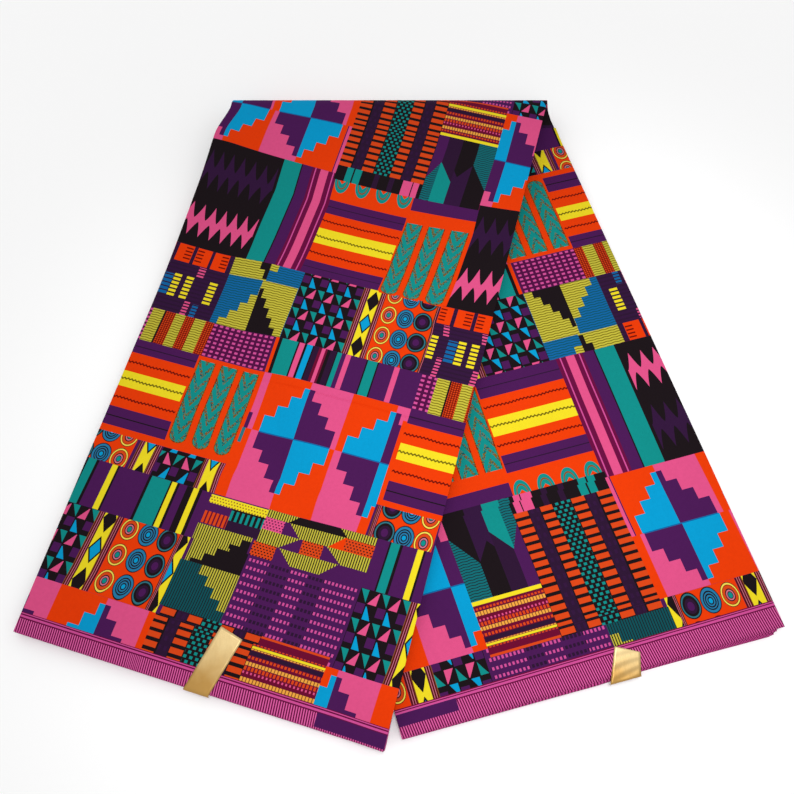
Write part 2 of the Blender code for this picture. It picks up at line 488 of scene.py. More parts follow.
@dataclass(frozen=True)
class Lozenges(Cotton):
    """A yellow strip with black and blue lozenges one above another."""

    centre: float = 6.0
    half: float = 6.0
    step: float = 26.5
    start: float = 8.75
    reach: float = 11.8

    def colour(self, tree: Tree) -> Colour:
        """Lozenges on yellow, every other one with a blue heart.

        Args:
            tree: The nodes.

        Returns:
            The colour.
        """
        x, y = tree.map("motif")
        y = y + self.start
        up = abs(y.turn(self.step) - 0.5) * self.step
        odd = y.count(self.step).turn(2.0) > 0.45
        reach = abs(x - self.centre) / self.half + up / self.reach
        return tree.paint(Dye.YELLOW, (reach < 1.0, Dye.BLACK), ((reach < 0.76) * odd, Dye.SKY))


@dataclass(frozen=True)
class Triangles(Cotton):
    """Black with dark purple squares and small triangles in pink, teal and blue."""

    pitch_x: float = 17.5
    pitch_y: float = 22.8
    start_x: float = 0.5
    top: float = 61.5
    mirrored: bool = False

    def colour(self, tree: Tree) -> Colour:
        """Triangles on black, in rows counted down from the top.

        Args:
            tree: The nodes.

        Returns:
            The colour.
        """
        x, y = tree.map("motif")
        x = self.start_x - x if self.mirrored else x - self.start_x
        across = x.turn(self.pitch_x) * self.pitch_x
        down = (self.top - y).turn(self.pitch_y) * self.pitch_y
        square = down.within(10.8, 18.4) * (across < 7.0)
        pink = down.within(0.6, 10.3) * (across < 15.8) * (across > 15.6 - down * 0.70)
        teal = (across < 6.6) * (across > down * 0.68)
        blue = down.within(12.4, 22.2) * (across > 8.1) * (across < down * 0.60 + 1.4)
        coats = ((square, Dye.PURPLE), (pink, Dye.PINK), (teal, Dye.TEAL), (blue, Dye.SKY))
        return tree.paint(Dye.BLACK, *coats)


class Weave(Enum):
    """Grounds with a fine hatch of their own: two dyes, pitch and share filled, across and up."""

    OLIVE = (Dye.BLACK, Dye.OLIVE, 2.15, 0.0, 0.56, 1.0)
    PINE = (Dye.BLACK, Dye.PINE, 2.15, 0.0, 0.70, 1.0)
    LAKE = (Dye.BLACK, Dye.LAKE, 0.0, 2.2, 1.0, 0.74)
    BLUE = (Dye.PINE, Dye.BLUE, 0.0, 2.4, 1.0, 0.68)
    GREEN = (Dye.MOSS, Dye.OLIVE, 0.0, 2.4, 1.0, 0.66)
    RED = (Dye.OXBLOOD, Dye.RUNG, 2.2, 2.0, 0.62, 0.62)
    BLACK = (Dye.BLACK, Dye.BLACK, 0.0, 0.0, 1.0, 1.0)

    def colour(self, tree: Tree) -> Colour:
        """The hatch's colours, its upright lines straight and its level ones a little wavy.

        Args:
            tree: The nodes.

        Returns:
            The colour.
        """
        ground, mark, pitch_x, pitch_y, fill_x, fill_y = self.value
        x, y = tree.map("chart")
        mask = 1.0
        if pitch_x:
            mask = x.turn(pitch_x) < fill_x
        if pitch_y:
            wavy = y + (x * 0.9).sine() * 0.22
            mask = mask * (wavy.turn(pitch_y) < fill_y)
        return tree.mix(mask, ground, mark)


@dataclass(frozen=True)
class Hatched(Cotton):
    """One hatched ground."""

    weave: Weave = Weave.OLIVE

    def colour(self, tree: Tree) -> Colour:
        """The hatch."""
        return self.weave.colour(tree)


@dataclass(frozen=True)
class Stairs(Cotton):
    """Two hatched grounds that meet in a flight of stairs.

    The steps count up from the foot, or down from it where sign is below 0.
    """

    left: Weave = Weave.PINE
    right: Weave = Weave.OLIVE
    first: float = 20.0
    run: float = 9.0
    rise: float = 8.0
    foot: float = 38.0
    sign: float = -1.0

    def colour(self, tree: Tree) -> Colour:
        """The two grounds.

        Args:
            tree: The nodes.

        Returns:
            The colour.
        """
        x, y = tree.map("motif")
        edge = ((y - self.foot) * self.sign).count(self.rise) * self.run + self.first
        return tree.mix(x > edge, self.left.colour(tree), self.right.colour(tree))


@dataclass(frozen=True)
class Cross(Cotton):
    """A stepped cross in light blue and purple on quarters of orange and pink."""

    centre_x: float = 40.0
    centre_y: float = 52.5
    steps: tuple = ((33.5, 15.5), (24.0, 26.0), (14.3, 36.5), (5.0, 46.5))

    def colour(self, tree: Tree) -> Colour:
        """The cross on its quarters, with a thin blue line along its arms.

        Args:
            tree: The nodes.

        Returns:
            The colour.
        """
        x, y = tree.map("motif")
        side, up = x - self.centre_x, y - self.centre_y
        across, rise = abs(side), abs(up)
        rising = side * up > 0.0
        quarters = tree.mix(rising, Dye.ORANGE, Dye.PINK)
        first, *others = [(across < reach) * (rise < height) for reach, height in self.steps]
        for step in others:
            first = first | step
        line = (rise < 0.5) * (across < self.steps[0][0])
        return tree.paint(quarters, (first, tree.mix(rising, Dye.SKY, Dye.PURPLE)), (line, Dye.BLUE))


@dataclass(frozen=True)
class Squiggle(Cotton):
    """A stripe with a thin wavy line along its middle."""

    ground: Dye = Dye.ORANGE
    line: Dye = Dye.OXBLOOD
    middle: float = 9.0

    def colour(self, tree: Tree) -> Colour:
        """The line on its stripe.

        Args:
            tree: The nodes.

        Returns:
            The colour.
        """
        _, y = tree.map("motif")
        x, _ = tree.map("chart")
        line = (x * 1.85).sine() * 0.55 + (x * 0.23).sine() * 0.3 + self.middle
        return tree.mix(abs(y - line) < 0.8, self.ground, self.line)


@dataclass(frozen=True)
class Chevrons(Cotton):
    """A teal column with a rounded foot and speckled chevrons, on orange."""

    width: float = 16.5
    pitch: float = 13.3
    slope: float = 1.85
    foot: float = 7.0
    fleck: float = 0.95

    def colour(self, tree: Tree) -> Colour:
        """The column on its ground.

        Args:
            tree: The nodes.

        Returns:
            The colour.
        """
        x, y = tree.map("motif")
        side = abs(x - self.width / 2)
        speckled = (y - side * self.slope).turn(self.pitch) > 0.60
        fleck = tree.flecks((x + y * 0.5).count(self.fleck), (y - x * 0.5).count(self.fleck))
        low = (self.foot - y).at_least(0.0) / self.foot
        share = side / (self.width / 2)
        radius = share * share + low * low
        return tree.paint(
            Dye.TEAL,
            (speckled * (fleck < 0.26), Dye.RUST),
            (speckled * (fleck > 0.76), Dye.MOSS),
            (speckled * fleck.within(0.26, 0.46), Dye.PINE),
            (radius > 0.76, tree.mix(fleck < 0.5, Dye.MOSS, Dye.OXBLOOD)),
            (radius > 0.97, Dye.ORANGE),
        )


@dataclass(frozen=True)
class Flames(Cotton):
    """Black with one band of long pink teeth and one of dark purple teeth."""

    pitch: float = 11.8
    pink: float = 29.0
    dusk: float = 84.0
    power: float = 1.35

    def band(self, x: Value, y: Value, middle: float, half: float, tooth: float) -> Value:
        """A mask: a band with teeth up and down.

        Args:
            x: Distance across.
            y: Distance up.
            middle: Height of the band's middle.
            half: Half its height between the teeth.
            tooth: Length of a tooth.

        Returns:
            The mask.
        """
        share = abs(x.turn(self.pitch) - 0.5) * 2.0
        top = (1.0 - share) ** self.power * tooth + (middle + half)
        foot = (middle - half) - share**self.power * tooth
        return (y < top) * (y > foot)

    def colour(self, tree: Tree) -> Colour:
        """The bands on black.

        Args:
            tree: The nodes.

        Returns:
            The colour.
        """
        x, y = tree.map("motif")
        dark = self.band(x, y, self.dusk, 3.0, 18.0)
        bright = self.band(x, y, self.pink, 1.8, 16.2)
        return tree.paint(Dye.BLACK, (dark, Dye.SHADE), (bright, Dye.PINK))


@dataclass(frozen=True)
class Lenses(Cotton):
    """Long lens shapes one above another, in olive hatch, purple and black, between checks."""

    middle: float = 47.0
    rows: tuple = (12.2, 24.2, 35.2)

    def colour(self, tree: Tree) -> Colour:
        """Four rows of lenses, from the lowest up.

        Args:
            tree: The nodes.

        Returns:
            The colour.
        """
        x, y = tree.map("motif")
        olive = Weave.OLIVE.colour(tree)
        dots = ((x + y.count(2.3) * 1.4).turn(2.8) < 0.45) * (y.turn(2.3) < 0.5)
        check = tree.mix(dots, Dye.RUNG, Dye.BLACK)
        rosy = tree.mix(dots, Dye.PINK, Dye.PLUM)
        side = abs(x - self.middle)
        edge = x < 17.5
        low = tree.paint(Dye.PURPLE, (edge, check), (side < y * 1.1 + 13.0, olive))
        second = tree.paint(olive, (side < 44.5 - y * 1.35, Dye.PURPLE), (side < 9.5, check))
        third = tree.paint(Dye.PURPLE, (x > 72.0, check), (x.within(56.0, 73.0), Dye.ORANGE), (edge, rosy))
        third = tree.mix(side < y * 1.1 - 13.5, third, olive)
        top = tree.mix(side < 69.0 - y * 1.2, olive, Dye.BLACK)
        return tree.paint(low, *((y > start, row) for start, row in zip(self.rows, (second, third, top))))


@dataclass(frozen=True)
class Arrows(Cotton):
    """Upright bars with pointed and slanting ends, in teal, purple and black."""

    peak_x: float = 10.0
    peak_y: float = 42.0
    bar: float = 24.3

    def colour(self, tree: Tree) -> Colour:
        """The bars.

        Args:
            tree: The nodes.

        Returns:
            The colour.
        """
        x, y = tree.map("motif")
        lake = Weave.LAKE.colour(tree)
        side = x - self.peak_x
        roof = self.peak_y - (side * -1.9).at_least(side * 1.3)
        valley = abs(x - 28.8) * 1.35 + 30.0
        return tree.paint(
            Dye.PURPLE,
            (x > 10.2, Dye.DUSK),
            (x > self.bar, Dye.BLACK),
            ((y < valley) * x.within(self.bar, 40.0), Dye.SHADE),
            ((y < roof) * (x < self.bar), tree.mix(x > 9.4, lake, Dye.TEAL)),
            ((y > 101.7 - x * 1.37) * (x > 40.5), lake),
        )


@dataclass(frozen=True)
class Scallops(Cotton):
    """Teal scallops hanging in orange."""

    pitch: float = 21.1
    half: float = 7.4
    depth: float = 12.0

    def colour(self, tree: Tree) -> Colour:
        """The scallops on orange.

        Args:
            tree: The nodes.

        Returns:
            The colour.
        """
        x, y = tree.map("motif")
        side = (x.turn(self.pitch) * self.pitch - self.half) / self.half
        drop = (self.depth - y) / self.depth
        radius = side * side + drop * drop
        notch = abs(side) + drop * 1.6 < 0.42
        rim = radius.within(0.34, 0.5)
        return tree.paint(Dye.ORANGE, (radius < 1.0, Dye.TEAL), (rim, Dye.RUST), (notch, Dye.ORANGE))


ORANGE = Plain("orange_cotton", Dye.ORANGE)
PINK = Plain("pink_cotton", Dye.PINK)
PURPLE = Plain("purple_cotton", Dye.PURPLE)
DUSK = Plain("dark_purple_cotton", Dye.DUSK)
SKY = Plain("light_blue_cotton", Dye.SKY)
TEAL = Plain("teal_cotton", Dye.TEAL)
YELLOW = Plain("yellow_cotton", Dye.YELLOW)
BLACK = Plain("black_cotton", Dye.BLACK)
WINE = Plain("wine_cotton", Dye.WINE)
MAGENTA = Plain("magenta_cotton", Dye.MAGENTA)
TICK = Plain("selvedge_pink_cotton", Dye.TICK)
RUNG = Plain("red_orange_cotton", Dye.RUNG)
SLATE = Plain("grey_teal_cotton", Dye.SLATE)

GREEN_HATCH = Hatched("green_hatch", Weave.GREEN)
BLUE_HATCH = Hatched("blue_hatch", Weave.BLUE)
RED_HATCH = Hatched("red_hatch", Weave.RED)
PINE_OLIVE_STAIRS = Stairs("pine_olive_stairs", Weave.PINE, Weave.OLIVE, 19.0, 9.0, 7.5, 38.0, -1.0)
OLIVE_BLACK_STAIRS = Stairs("olive_black_stairs", Weave.OLIVE, Weave.BLACK, 3.9, 9.5, 6.3, -3.2, 1.0)
BLUE_GREEN_STAIRS = Stairs("blue_green_stairs", Weave.BLUE, Weave.GREEN, 28.5, -7.2, 9.4, 36.0, -1.0)
BLACK_GREEN_STAIRS = Stairs("black_green_stairs", Weave.BLACK, Weave.GREEN, 4.0, 5.9, 9.2, 44.0, -1.0)
GREEN_BLACK_STAIRS = Stairs("green_black_stairs", Weave.GREEN, Weave.BLACK, 34.0, -5.6, 9.0, 1.5, 1.0)

YELLOW_BANDS = (
    (0.24, Dye.TEAL),
    (0.32, Dye.DUSK),
    (0.45, Dye.ROSE),
    (0.55, Dye.BLACK),
    (0.80, Dye.RUNG),
    (0.86, Dye.OXBLOOD),
    (1.00, Dye.CREAM),
    (1.06, Dye.BLACK),
)
BLUE_BANDS = (
    (0.21, Dye.SKY),
    (0.32, Dye.BLACK),
    (0.45, Dye.RING),
    (0.57, Dye.BLACK),
    (0.67, Dye.RING),
    (0.78, Dye.BLACK),
    (0.99, Dye.RING),
    (1.08, Dye.BLACK),
)
DARK_BANDS = (
    (0.36, Dye.PURPLE),
    (0.62, Dye.DUSK),
    (0.84, Dye.BLACK),
    (0.97, Dye.SLATE),
    (1.08, Dye.BLACK),
)
TALL_YELLOW_RINGS = Rings("tall_yellow_rings", YELLOW_BANDS, 8.5, 10.3, 22.0, 7.2, 8.8)
TALL_BLUE_RINGS = Rings("tall_blue_rings", BLUE_BANDS, 8.5, 10.3, 22.0, 7.6, 9.3)
TALL_DARK_RINGS = Rings("tall_dark_rings", DARK_BANDS, 8.5, 10.3, 22.0, 7.6, 9.3)
LOW_YELLOW_RINGS = Rings("low_yellow_rings", YELLOW_BANDS, 8.4, 5.6, 21.3, 7.6, 9.2)
LOW_BLUE_RINGS = Rings("low_blue_rings", BLUE_BANDS, 8.4, 5.6, 21.3, 8.1, 9.2)
LOW_DARK_RINGS = Rings("low_dark_rings", DARK_BANDS, 8.4, 5.6, 21.3, 8.1, 9.2)
YELLOW_RINGS = Rings("yellow_rings", YELLOW_BANDS, 8.2, 5.2, 21.4, 7.0, 8.9)
BLUE_RINGS = Rings("blue_rings", BLUE_BANDS, 8.2, 5.2, 21.4, 7.6, 9.3)
DARK_RINGS = Rings("dark_rings", DARK_BANDS, 8.1, 6.2, 21.4, 7.5, 9.1)

LINES = Lines("thin_lines")
NARROW_LINES = Lines("narrow_lines", 3.6)
LOZENGES = Lozenges("lozenge_strip")
HALF_LOZENGES = Lozenges("half_lozenge_strip", centre=0.0)
SHORT_LOZENGES = Lozenges("short_lozenge_strip", step=31.5, start=19.45)
HIGH_LOZENGES = Lozenges("high_lozenge_strip", step=23.8, start=1.8, reach=10.8)
TRIANGLES = Triangles("triangle_check")
LOW_TRIANGLES = Triangles("low_triangle_check", start_x=4.0, top=22.5, mirrored=True)
HIGH_TRIANGLES = Triangles("high_triangle_check", top=55.5)
LENSES = Lenses("lens_band")
ARROWS = Arrows("arrow_bars")
SCALLOPS = Scallops("scallops")
CHEVRONS = Chevrons("chevron_column")
FLAMES = Flames("flame_teeth")
ORANGE_STRIPE = Squiggle("orange_stripe")
YELLOW_STRIPE = Squiggle("yellow_stripe", Dye.YELLOW, Dye.MOSS, 7.6)

# Marks across the whole of a patch have a share filled of 1, and any pitch that way.
PINK_DASHES = Marks("pink_dashes", Dye.PURPLE, Dye.TICK, 3.3, 6.35, 0.54, 0.38)
DUSK_DASHES = Marks("dark_dashes", Dye.PURPLE, Dye.DUSK, 3.3, 6.35, 0.66, 0.42)
PINK_DOTS = Marks("pink_dots", Dye.PLUM, Dye.TICK, 5.7, 4.35, 0.55, 0.48)
YELLOW_DASHES = Marks("yellow_dashes", Dye.DUSK, Dye.YELLOW, 60.0, 4.1, 1.0, 0.62)
BLUE_DASHES = Marks("blue_dashes", Dye.DUSK, Dye.BLUE, 60.0, 4.1, 1.0, 0.70)
SKY_DASHES = Marks("sky_dashes", Dye.DUSK, Dye.BLUE, 60.0, 3.2, 1.0, 0.64)
ROSE_DASHES = Marks("rose_dashes", Dye.DUSK, Dye.PINK, 60.0, 3.1, 1.0, 0.56)
DARK_STRIPES = Marks("dark_stripes", Dye.DUSK, Dye.SHADE, 60.0, 4.1, 1.0, 0.62)
RUNGS = Marks("ladder_rungs", Dye.BLACK, Dye.RUNG, 60.0, 7.0, 1.0, 0.61)
BASKET = Marks("teal_basket", Dye.BLACK, Dye.TEAL, 5.2, 3.5, 0.52, 0.62, 0.5)
SPECKS = Marks("speckled_purple", Dye.DUSK, Dye.SHADE, 5.0, 7.0, 0.5, 0.5, 0.5)
TEETH = Marks("comb_teeth", Dye.OXBLOOD, Dye.ORANGE, 60.0, 3.6, 1.0, 0.60)
RED_COMB = Marks("red_comb", Dye.WINE, Dye.RUNG, 3.6, 60.0, 0.62, 1.0)
TEAL_COMB = Marks("teal_comb", Dye.BLACK, Dye.TEAL, 4.8, 60.0, 0.5, 1.0)
DOTTED_YELLOW = Marks("dotted_yellow", Dye.YELLOW, Dye.RUST, 2.6, 2.5, 0.45, 0.42, 0.5)
RED_CHECK = Marks("red_check", Dye.RUNG, Dye.BLACK, 2.8, 2.3, 0.45, 0.5, 0.5)
AMBER_BEADS = Marks("amber_beads", Dye.RUST, Dye.AMBER, 2.6, 9.0, 0.7, 1.0)
RUNG_BEADS = Marks("red_beads", Dye.WINE, Dye.RUNG, 2.9, 9.0, 0.62, 1.0)
ROSE_BEADS = Marks("rose_beads", Dye.WINE, Dye.PINK, 3.1, 9.0, 0.42, 1.0)
TICKS = Marks("selvedge_ticks", Dye.MAGENTA, Dye.PALE, 1.95, 60.0, 0.46, 1.0, 0.0, 0.12)

WIDE_CROSS = Cross("wide_cross", 40.0, 59.7)
WIDE_CROSS_TOP = Cross("wide_cross_top", 40.0, 0.0)
CROSS_A_LOW = Cross("first_cross_low", 11.5, 52.5)
CROSS_A_TOP = Cross("first_cross_top", 11.5, 0.0)
CROSS_B_LOW = Cross("second_cross_low", 38.5, 52.5)
CROSS_B_TOP = Cross("second_cross_top", 41.8, 0.0)


@dataclass(frozen=True)
class Patch:
    """One patch of the print: its finish and its edges on the chart, in millimetres."""

    finish: Cotton
    left: float
    right: float
    low: float
    high: float


def band(low: float, high: float, *rows: tuple) -> list[Patch]:
    """Patches of one band of the print.

    Args:
        low: The band's lower edge.
        high: Its upper edge.
        rows: For each patch its finish, left and right, and its own low and high where they differ.

    Returns:
        The patches, each laid over those before it.
    """
    return [Patch(row[0], row[1], row[2], *(row[3:] or (low, high))) for row in rows]


def stack(left: float, right: float, *rows: tuple) -> list[Patch]:
    """Patches one above another, from a finish, low and high for each."""
    return [Patch(finish, left, right, low, high) for finish, low, high in rows]


def ring_block(low: float, high: float, left: float, width: float, finishes: tuple) -> list[Patch]:
    """Columns of rings side by side."""
    return [Patch(f, left + k * width, left + (k + 1) * width, low, high) for k, f in enumerate(finishes)]


def comb(left: float, right: float, low: float, high: float, teeth_right: bool) -> list[Patch]:
    """A comb: a red block, one half of it notched into teeth.

    Args:
        left: The block's left edge.
        right: Its right edge.
        low: Its lower edge.
        high: Its upper edge.
        teeth_right: Whether the teeth are in its right half.

    Returns:
        The block and its teeth.
    """
    middle, margin, foot = (left + right) / 2, 0.6, 1.2
    near, far = (middle, right - margin) if teeth_right else (left + margin, middle)
    return [Patch(ORANGE, left, right, low, high), Patch(TEETH, near, far, low + foot, high)]


@dataclass(frozen=True)
class Chart:
    """The repeat of the print, in bands from the bottom up.

    A row only 0.15 high, at a band's edge, gives the mesh a line there, so that the print can slip
    sideways at once between two bands.
    """

    width: float = 278.0
    height: float = 543.0

    def rings_and_stairs(self) -> list[Patch]:
        """The two lowest bands: rings, dashes and triangles, then bars, stairs and lenses.

        Returns:
            Their patches.
        """
        return [
            *band(
                0, 62, (PURPLE, 0, 278), (TRIANGLES, 261.9, 304), (LINES, 26, 31.5), (LOZENGES, 31.7, 43),
                (LINES, 43, 48.7), (NARROW_LINES, 99.7, 103), (HALF_LOZENGES, 103, 109.5),
                (DUSK_DASHES, 164, 260, 6, 62), (PINK_DASHES, 164, 181.5), (PINK_DASHES, 201, 215.5),
                (PINK_DASHES, 231, 259.5),
            ),
            *ring_block(0, 62, 49, 17, (TALL_YELLOW_RINGS, TALL_BLUE_RINGS, TALL_DARK_RINGS)),
            *band(
                62, 104, (PURPLE, 0, 278), (BLACK, 274.5, 286), (TEAL, 276, 283.5), (YELLOW, 298.5, 303.7),
                (BLACK, 303.7, 305.5), (BLACK, 55.5, 84), (TEAL, 58, 75.5), (YELLOW, 77, 81.7),
                (BLACK, 91, 105), (YELLOW, 97, 102), (DOTTED_YELLOW, 114, 166, 95.5, 103),
                (BLACK, 136, 166, 76, 95.5), (DUSK, 136, 166, 76, 85), (TEAL_COMB, 136, 166, 85, 94),
                (RED_COMB, 114, 136, 77, 88), (LENSES, 166, 264), (RED_CHECK, 164, 184, 62, 74.5),
                (PURPLE, 0, 278, 61.85, 62), (PURPLE, 0, 278, 103.85, 104),
                (PINE_OLIVE_STAIRS, 109, 162, 6, 44), (OLIVE_BLACK_STAIRS, 112.5, 162, 44, 76),
            ),
        ]

    def wide_crosses(self) -> list[Patch]:
        """The low rings, then the wide crosses, chevron columns and stripes, then bars and checks.

        Returns:
            Their patches.
        """
        return [
            *band(
                104, 130, (PURPLE, 0, 278), (NARROW_LINES, 259, 262.5), (LINES, 38, 42),
                (SHORT_LOZENGES, 42.5, 53), (LINES, 53.5, 58.5), (LOW_TRIANGLES, 59.5, 99.5),
                (LINES, 99.5, 104), (SHORT_LOZENGES, 104, 115.5), (LINES, 115.5, 120),
                (PURPLE, 0, 278, 129.85, 130),
            ),
            *ring_block(104, 130, 262.6, 16.8, (LOW_DARK_RINGS, LOW_BLUE_RINGS, LOW_YELLOW_RINGS)),
            Patch(ORANGE, 0, 278, 130, 217),
            *stack(
                261, 336, (PURPLE, 134, 151), (BLACK, 142, 143), (ORANGE_STRIPE, 151, 170.4),
                (YELLOW_STRIPE, 170.4, 185.3), (ORANGE_STRIPE, 185.3, 203.6), (PURPLE, 203.6, 217),
                (DUSK, 209.5, 210.5),
            ),
            *band(134, 213, (CHEVRONS, 59.8, 76.3), (CHEVRONS, 81.5, 98), (CHEVRONS, 103.2, 119.7)),
            Patch(ORANGE, 120.5, 131, 104, 163.7),
            Patch(PINK, 124, 131, 163.7, 217),
            *stack(131, 209, (WIDE_CROSS, 104, 163.7), (WIDE_CROSS_TOP, 163.7, 217)),
            *stack(209, 257, (WIDE_CROSS, 104, 163.7), (WIDE_CROSS_TOP, 163.7, 217)),
            Patch(PINK, 254, 261, 205, 217),
            Patch(PURPLE, 123, 126.6, 163.7, 178.5),
            Patch(SLATE, 122.3, 125.4, 150, 163.7),
            Patch(PURPLE, 0, 278, 216.85, 217),
            *band(
                217, 251, (PURPLE, 0, 278), (PINK_DOTS, 257, 271, 217.8, 251), (GREEN_HATCH, 271, 282.7),
                (BLACK, 282.7, 284.2), (RED_HATCH, 284.2, 294), (GREEN_HATCH, 294, 303.8),
                (RED_HATCH, 303.8, 313.3), (GREEN_HATCH, 313.3, 324.2), (RED_HATCH, 324.2, 333),
                (PINK_DOTS, 55, 116.5, 217.8, 251), (ORANGE, 117.7, 121), (BLACK, 121, 162),
                (TEAL, 124.2, 139.5), (PINK, 141, 146), (SKY, 148.2, 153.7), (DUSK, 155, 160),
                (WINE, 160, 168), (PINK, 162.7, 166), (BLACK, 168, 178), (DUSK, 171, 176.5),
                (TEAL, 177.5, 181.7), (PINK, 185.7, 190.5), (BLACK, 205.5, 217), (TEAL, 206.8, 215.7),
                (PINK, 231.8, 236.8), (PURPLE, 0, 278, 250.85, 251),
            ),
        ]

    def flames_and_stripes(self) -> list[Patch]:
        """The band of dashes, combs, hatched stairs and triangles, then that of flames and stripes.

        Returns:
            Their patches.
        """
        return [
            *band(
                251, 321, (DARK_STRIPES, 250.6, 327), (YELLOW_DASHES, 252.6, 257.6, 267, 291),
                (BLUE_DASHES, 267, 275.8, 267.5, 289), (YELLOW_DASHES, 276.5, 283.7, 267, 291),
                (YELLOW_DASHES, 288.8, 296, 267, 291), (YELLOW_DASHES, 312.5, 320.3, 267, 291),
                (ROSE_DASHES, 296.5, 302.2, 251, 265), (SKY_DASHES, 305.3, 311, 251, 264),
                (ROSE_DASHES, 261, 266, 251, 270), (ROSE_DASHES, 297, 304, 292, 302),
                (ROSE_DASHES, 260.4, 266, 292, 302), (BLUE_HATCH, 49, 121),
                (BLUE_GREEN_STAIRS, 49, 85, 251, 303), (BLACK_GREEN_STAIRS, 85, 120.5, 251, 303),
                (GREEN_BLACK_STAIRS, 49, 87.5, 303, 321), (GREEN_HATCH, 87.5, 95.3, 314, 321),
                (HIGH_TRIANGLES, 121, 180.5), (LINES, 180.5, 186), (HIGH_LOZENGES, 186.5, 197.5),
                (LINES, 197.5, 203), (NARROW_LINES, 250.6, 252.6),
            ),
            *comb(253.6, 265.4, 303, 321, False),
            *comb(269.2, 284.7, 303, 321, True),
            *comb(288.3, 303.2, 303, 321, False),
            *comb(306.3, 321.8, 303, 321, True),
            *ring_block(251, 321, 202.6, 16, (YELLOW_RINGS, BLUE_RINGS, DARK_RINGS)),
            *band(
                321, 436.5, (MAGENTA, 0, 278, 320.85, 436.5), (FLAMES, 258, 336), (BLACK, 57, 79.5),
                (TEAL, 60, 78.3), (PURPLE, 79.5, 90), (TICK, 92.6, 93.8), (PINK, 98.2, 106.2),
                (TICK, 110.8, 112),
            ),
            *stack(
                115.5, 193, (PURPLE, 321, 340.5), (DUSK, 330.3, 331.2), (ORANGE_STRIPE, 340.5, 360),
                (YELLOW_STRIPE, 360, 377), (ORANGE_STRIPE, 377, 395), (PURPLE, 395, 411),
                (DUSK, 402.6, 403.5),
            ),
            *stack(115, 194.5, (ORANGE, 411, 419), (SCALLOPS, 419, 431)),
            *band(
                431, 446, (BLACK, 113, 199), (TEAL, 123, 129.5), (TEAL, 131, 138), (DUSK, 151, 156),
                (DUSK, 166, 171), (PINK, 179.5, 188.8), (PINK, 189.8, 195.4),
            ),
            Patch(ORANGE, 193, 258, 321, 419),
            *band(319.5, 406, (CHEVRONS, 194.3, 211), (CHEVRONS, 216, 232.8), (CHEVRONS, 237.8, 254.8)),
            Patch(PURPLE, 194.5, 258, 419, 431),
            Patch(MAGENTA, 0, 110, 436.35, 436.5),
        ]

    def crosses_and_ladders(self) -> list[Patch]:
        """The highest band: crosses, ladders, arrows and rows of beads.

        Returns:
            Its patches.
        """
        return [
            Patch(CROSS_B_LOW, 31.5, 109, 436.5, 489),
            Patch(CROSS_B_TOP, 27, 106, 489, 543),
            Patch(CROSS_A_LOW, 257.5, 309.5, 436.5, 489),
            Patch(CROSS_A_TOP, 257.5, 305, 489, 543),
            Patch(PINK, 110, 113, 436.5, 489),
            Patch(ORANGE, 106, 113, 489, 543),
            *band(
                446, 549, (BLACK, 113, 199), (RUNGS, 113, 125), (SPECKS, 126.5, 136), (RUNGS, 136.5, 148),
                (BASKET, 149, 164.6), (RUNGS, 165, 175.5), (SPECKS, 176.5, 186), (RUNGS, 186.5, 198.5),
            ),
            *stack(
                199, 257.5, (ARROWS, 431, 505), (WINE, 505, 549), (YELLOW, 505, 508),
                (RUNG_BEADS, 509.8, 511.4), (AMBER_BEADS, 512.5, 515.5), (ROSE_BEADS, 518, 519.6),
                (RUNG_BEADS, 520.4, 523.2), (AMBER_BEADS, 523.8, 526.5), (RUNG_BEADS, 528.8, 531),
                (DUSK, 531.6, 535.2), (AMBER_BEADS, 535.8, 537), (YELLOW, 537.5, 540.2),
                (RUNG_BEADS, 541, 542.6), (WINE, 543, 546.6), (RUNG, 547.3, 549),
            ),
            Patch(PURPLE, 0, 278, 542.85, 543),
        ]

    def patches(self) -> list[Patch]:
        """Every patch of one repeat, each laid over those before it."""
        low = self.rings_and_stairs() + self.wide_crosses()
        return low + self.flames_and_stripes() + self.crosses_and_ladders()

    def repeats(self, window: tuple[float, float, float, float]) -> list[Patch]:
        """The patches that reach a window of the endless print.

        Args:
            window: Its left, right, low and high.

        Returns:
            The patches, each laid over those before it.
        """
        left, right, low, high = window
        made = []
        for patch in self.patches():
            for x in np.arange(-2, 3) * self.width:
                for y in np.arange(-2, 3) * self.height:
                    copy = Patch(patch.finish, patch.left + x, patch.right + x, patch.low + y, patch.high + y)
                    if copy.right > left and copy.left < right and copy.high > low and copy.low < high:
                        made.append(copy)
        return made


def smooth(t: np.ndarray | float) -> np.ndarray:
    """Eases from 0 to 1."""
    t = np.clip(t, 0.0, 1.0)
    return t * t * (3.0 - 2.0 * t)


def unit(v: np.ndarray) -> np.ndarray:
    """A direction of length 1."""
    return v / np.linalg.norm(v, axis=-1, keepdims=True)


def ripple(x: np.ndarray, y: np.ndarray, seed: float) -> np.ndarray:
    """A soft unevenness from -1 to 1, fixed to a place.

    Args:
        x: Places across, in metres.
        y: Places up, in metres.
        seed: Where the waves start.

    Returns:
        The unevenness.
    """
    waves = ((31.0, 17.0, 1.0, 1.0), (-23.0, 41.0, 1.7, 1.0), (67.0, 29.0, 2.3, 0.5))
    return sum(np.sin(x * across + y * up + seed * start) * size for across, up, start, size in waves) / 2.5


def grid_quads(high: int, wide: int) -> np.ndarray:
    """Corner numbers of the cells of a grid of points, row by row."""
    start = (np.arange(high - 1)[:, None] * wide + np.arange(wide - 1)).ravel()
    return np.stack((start, start + 1, start + wide + 1, start + wide), -1)


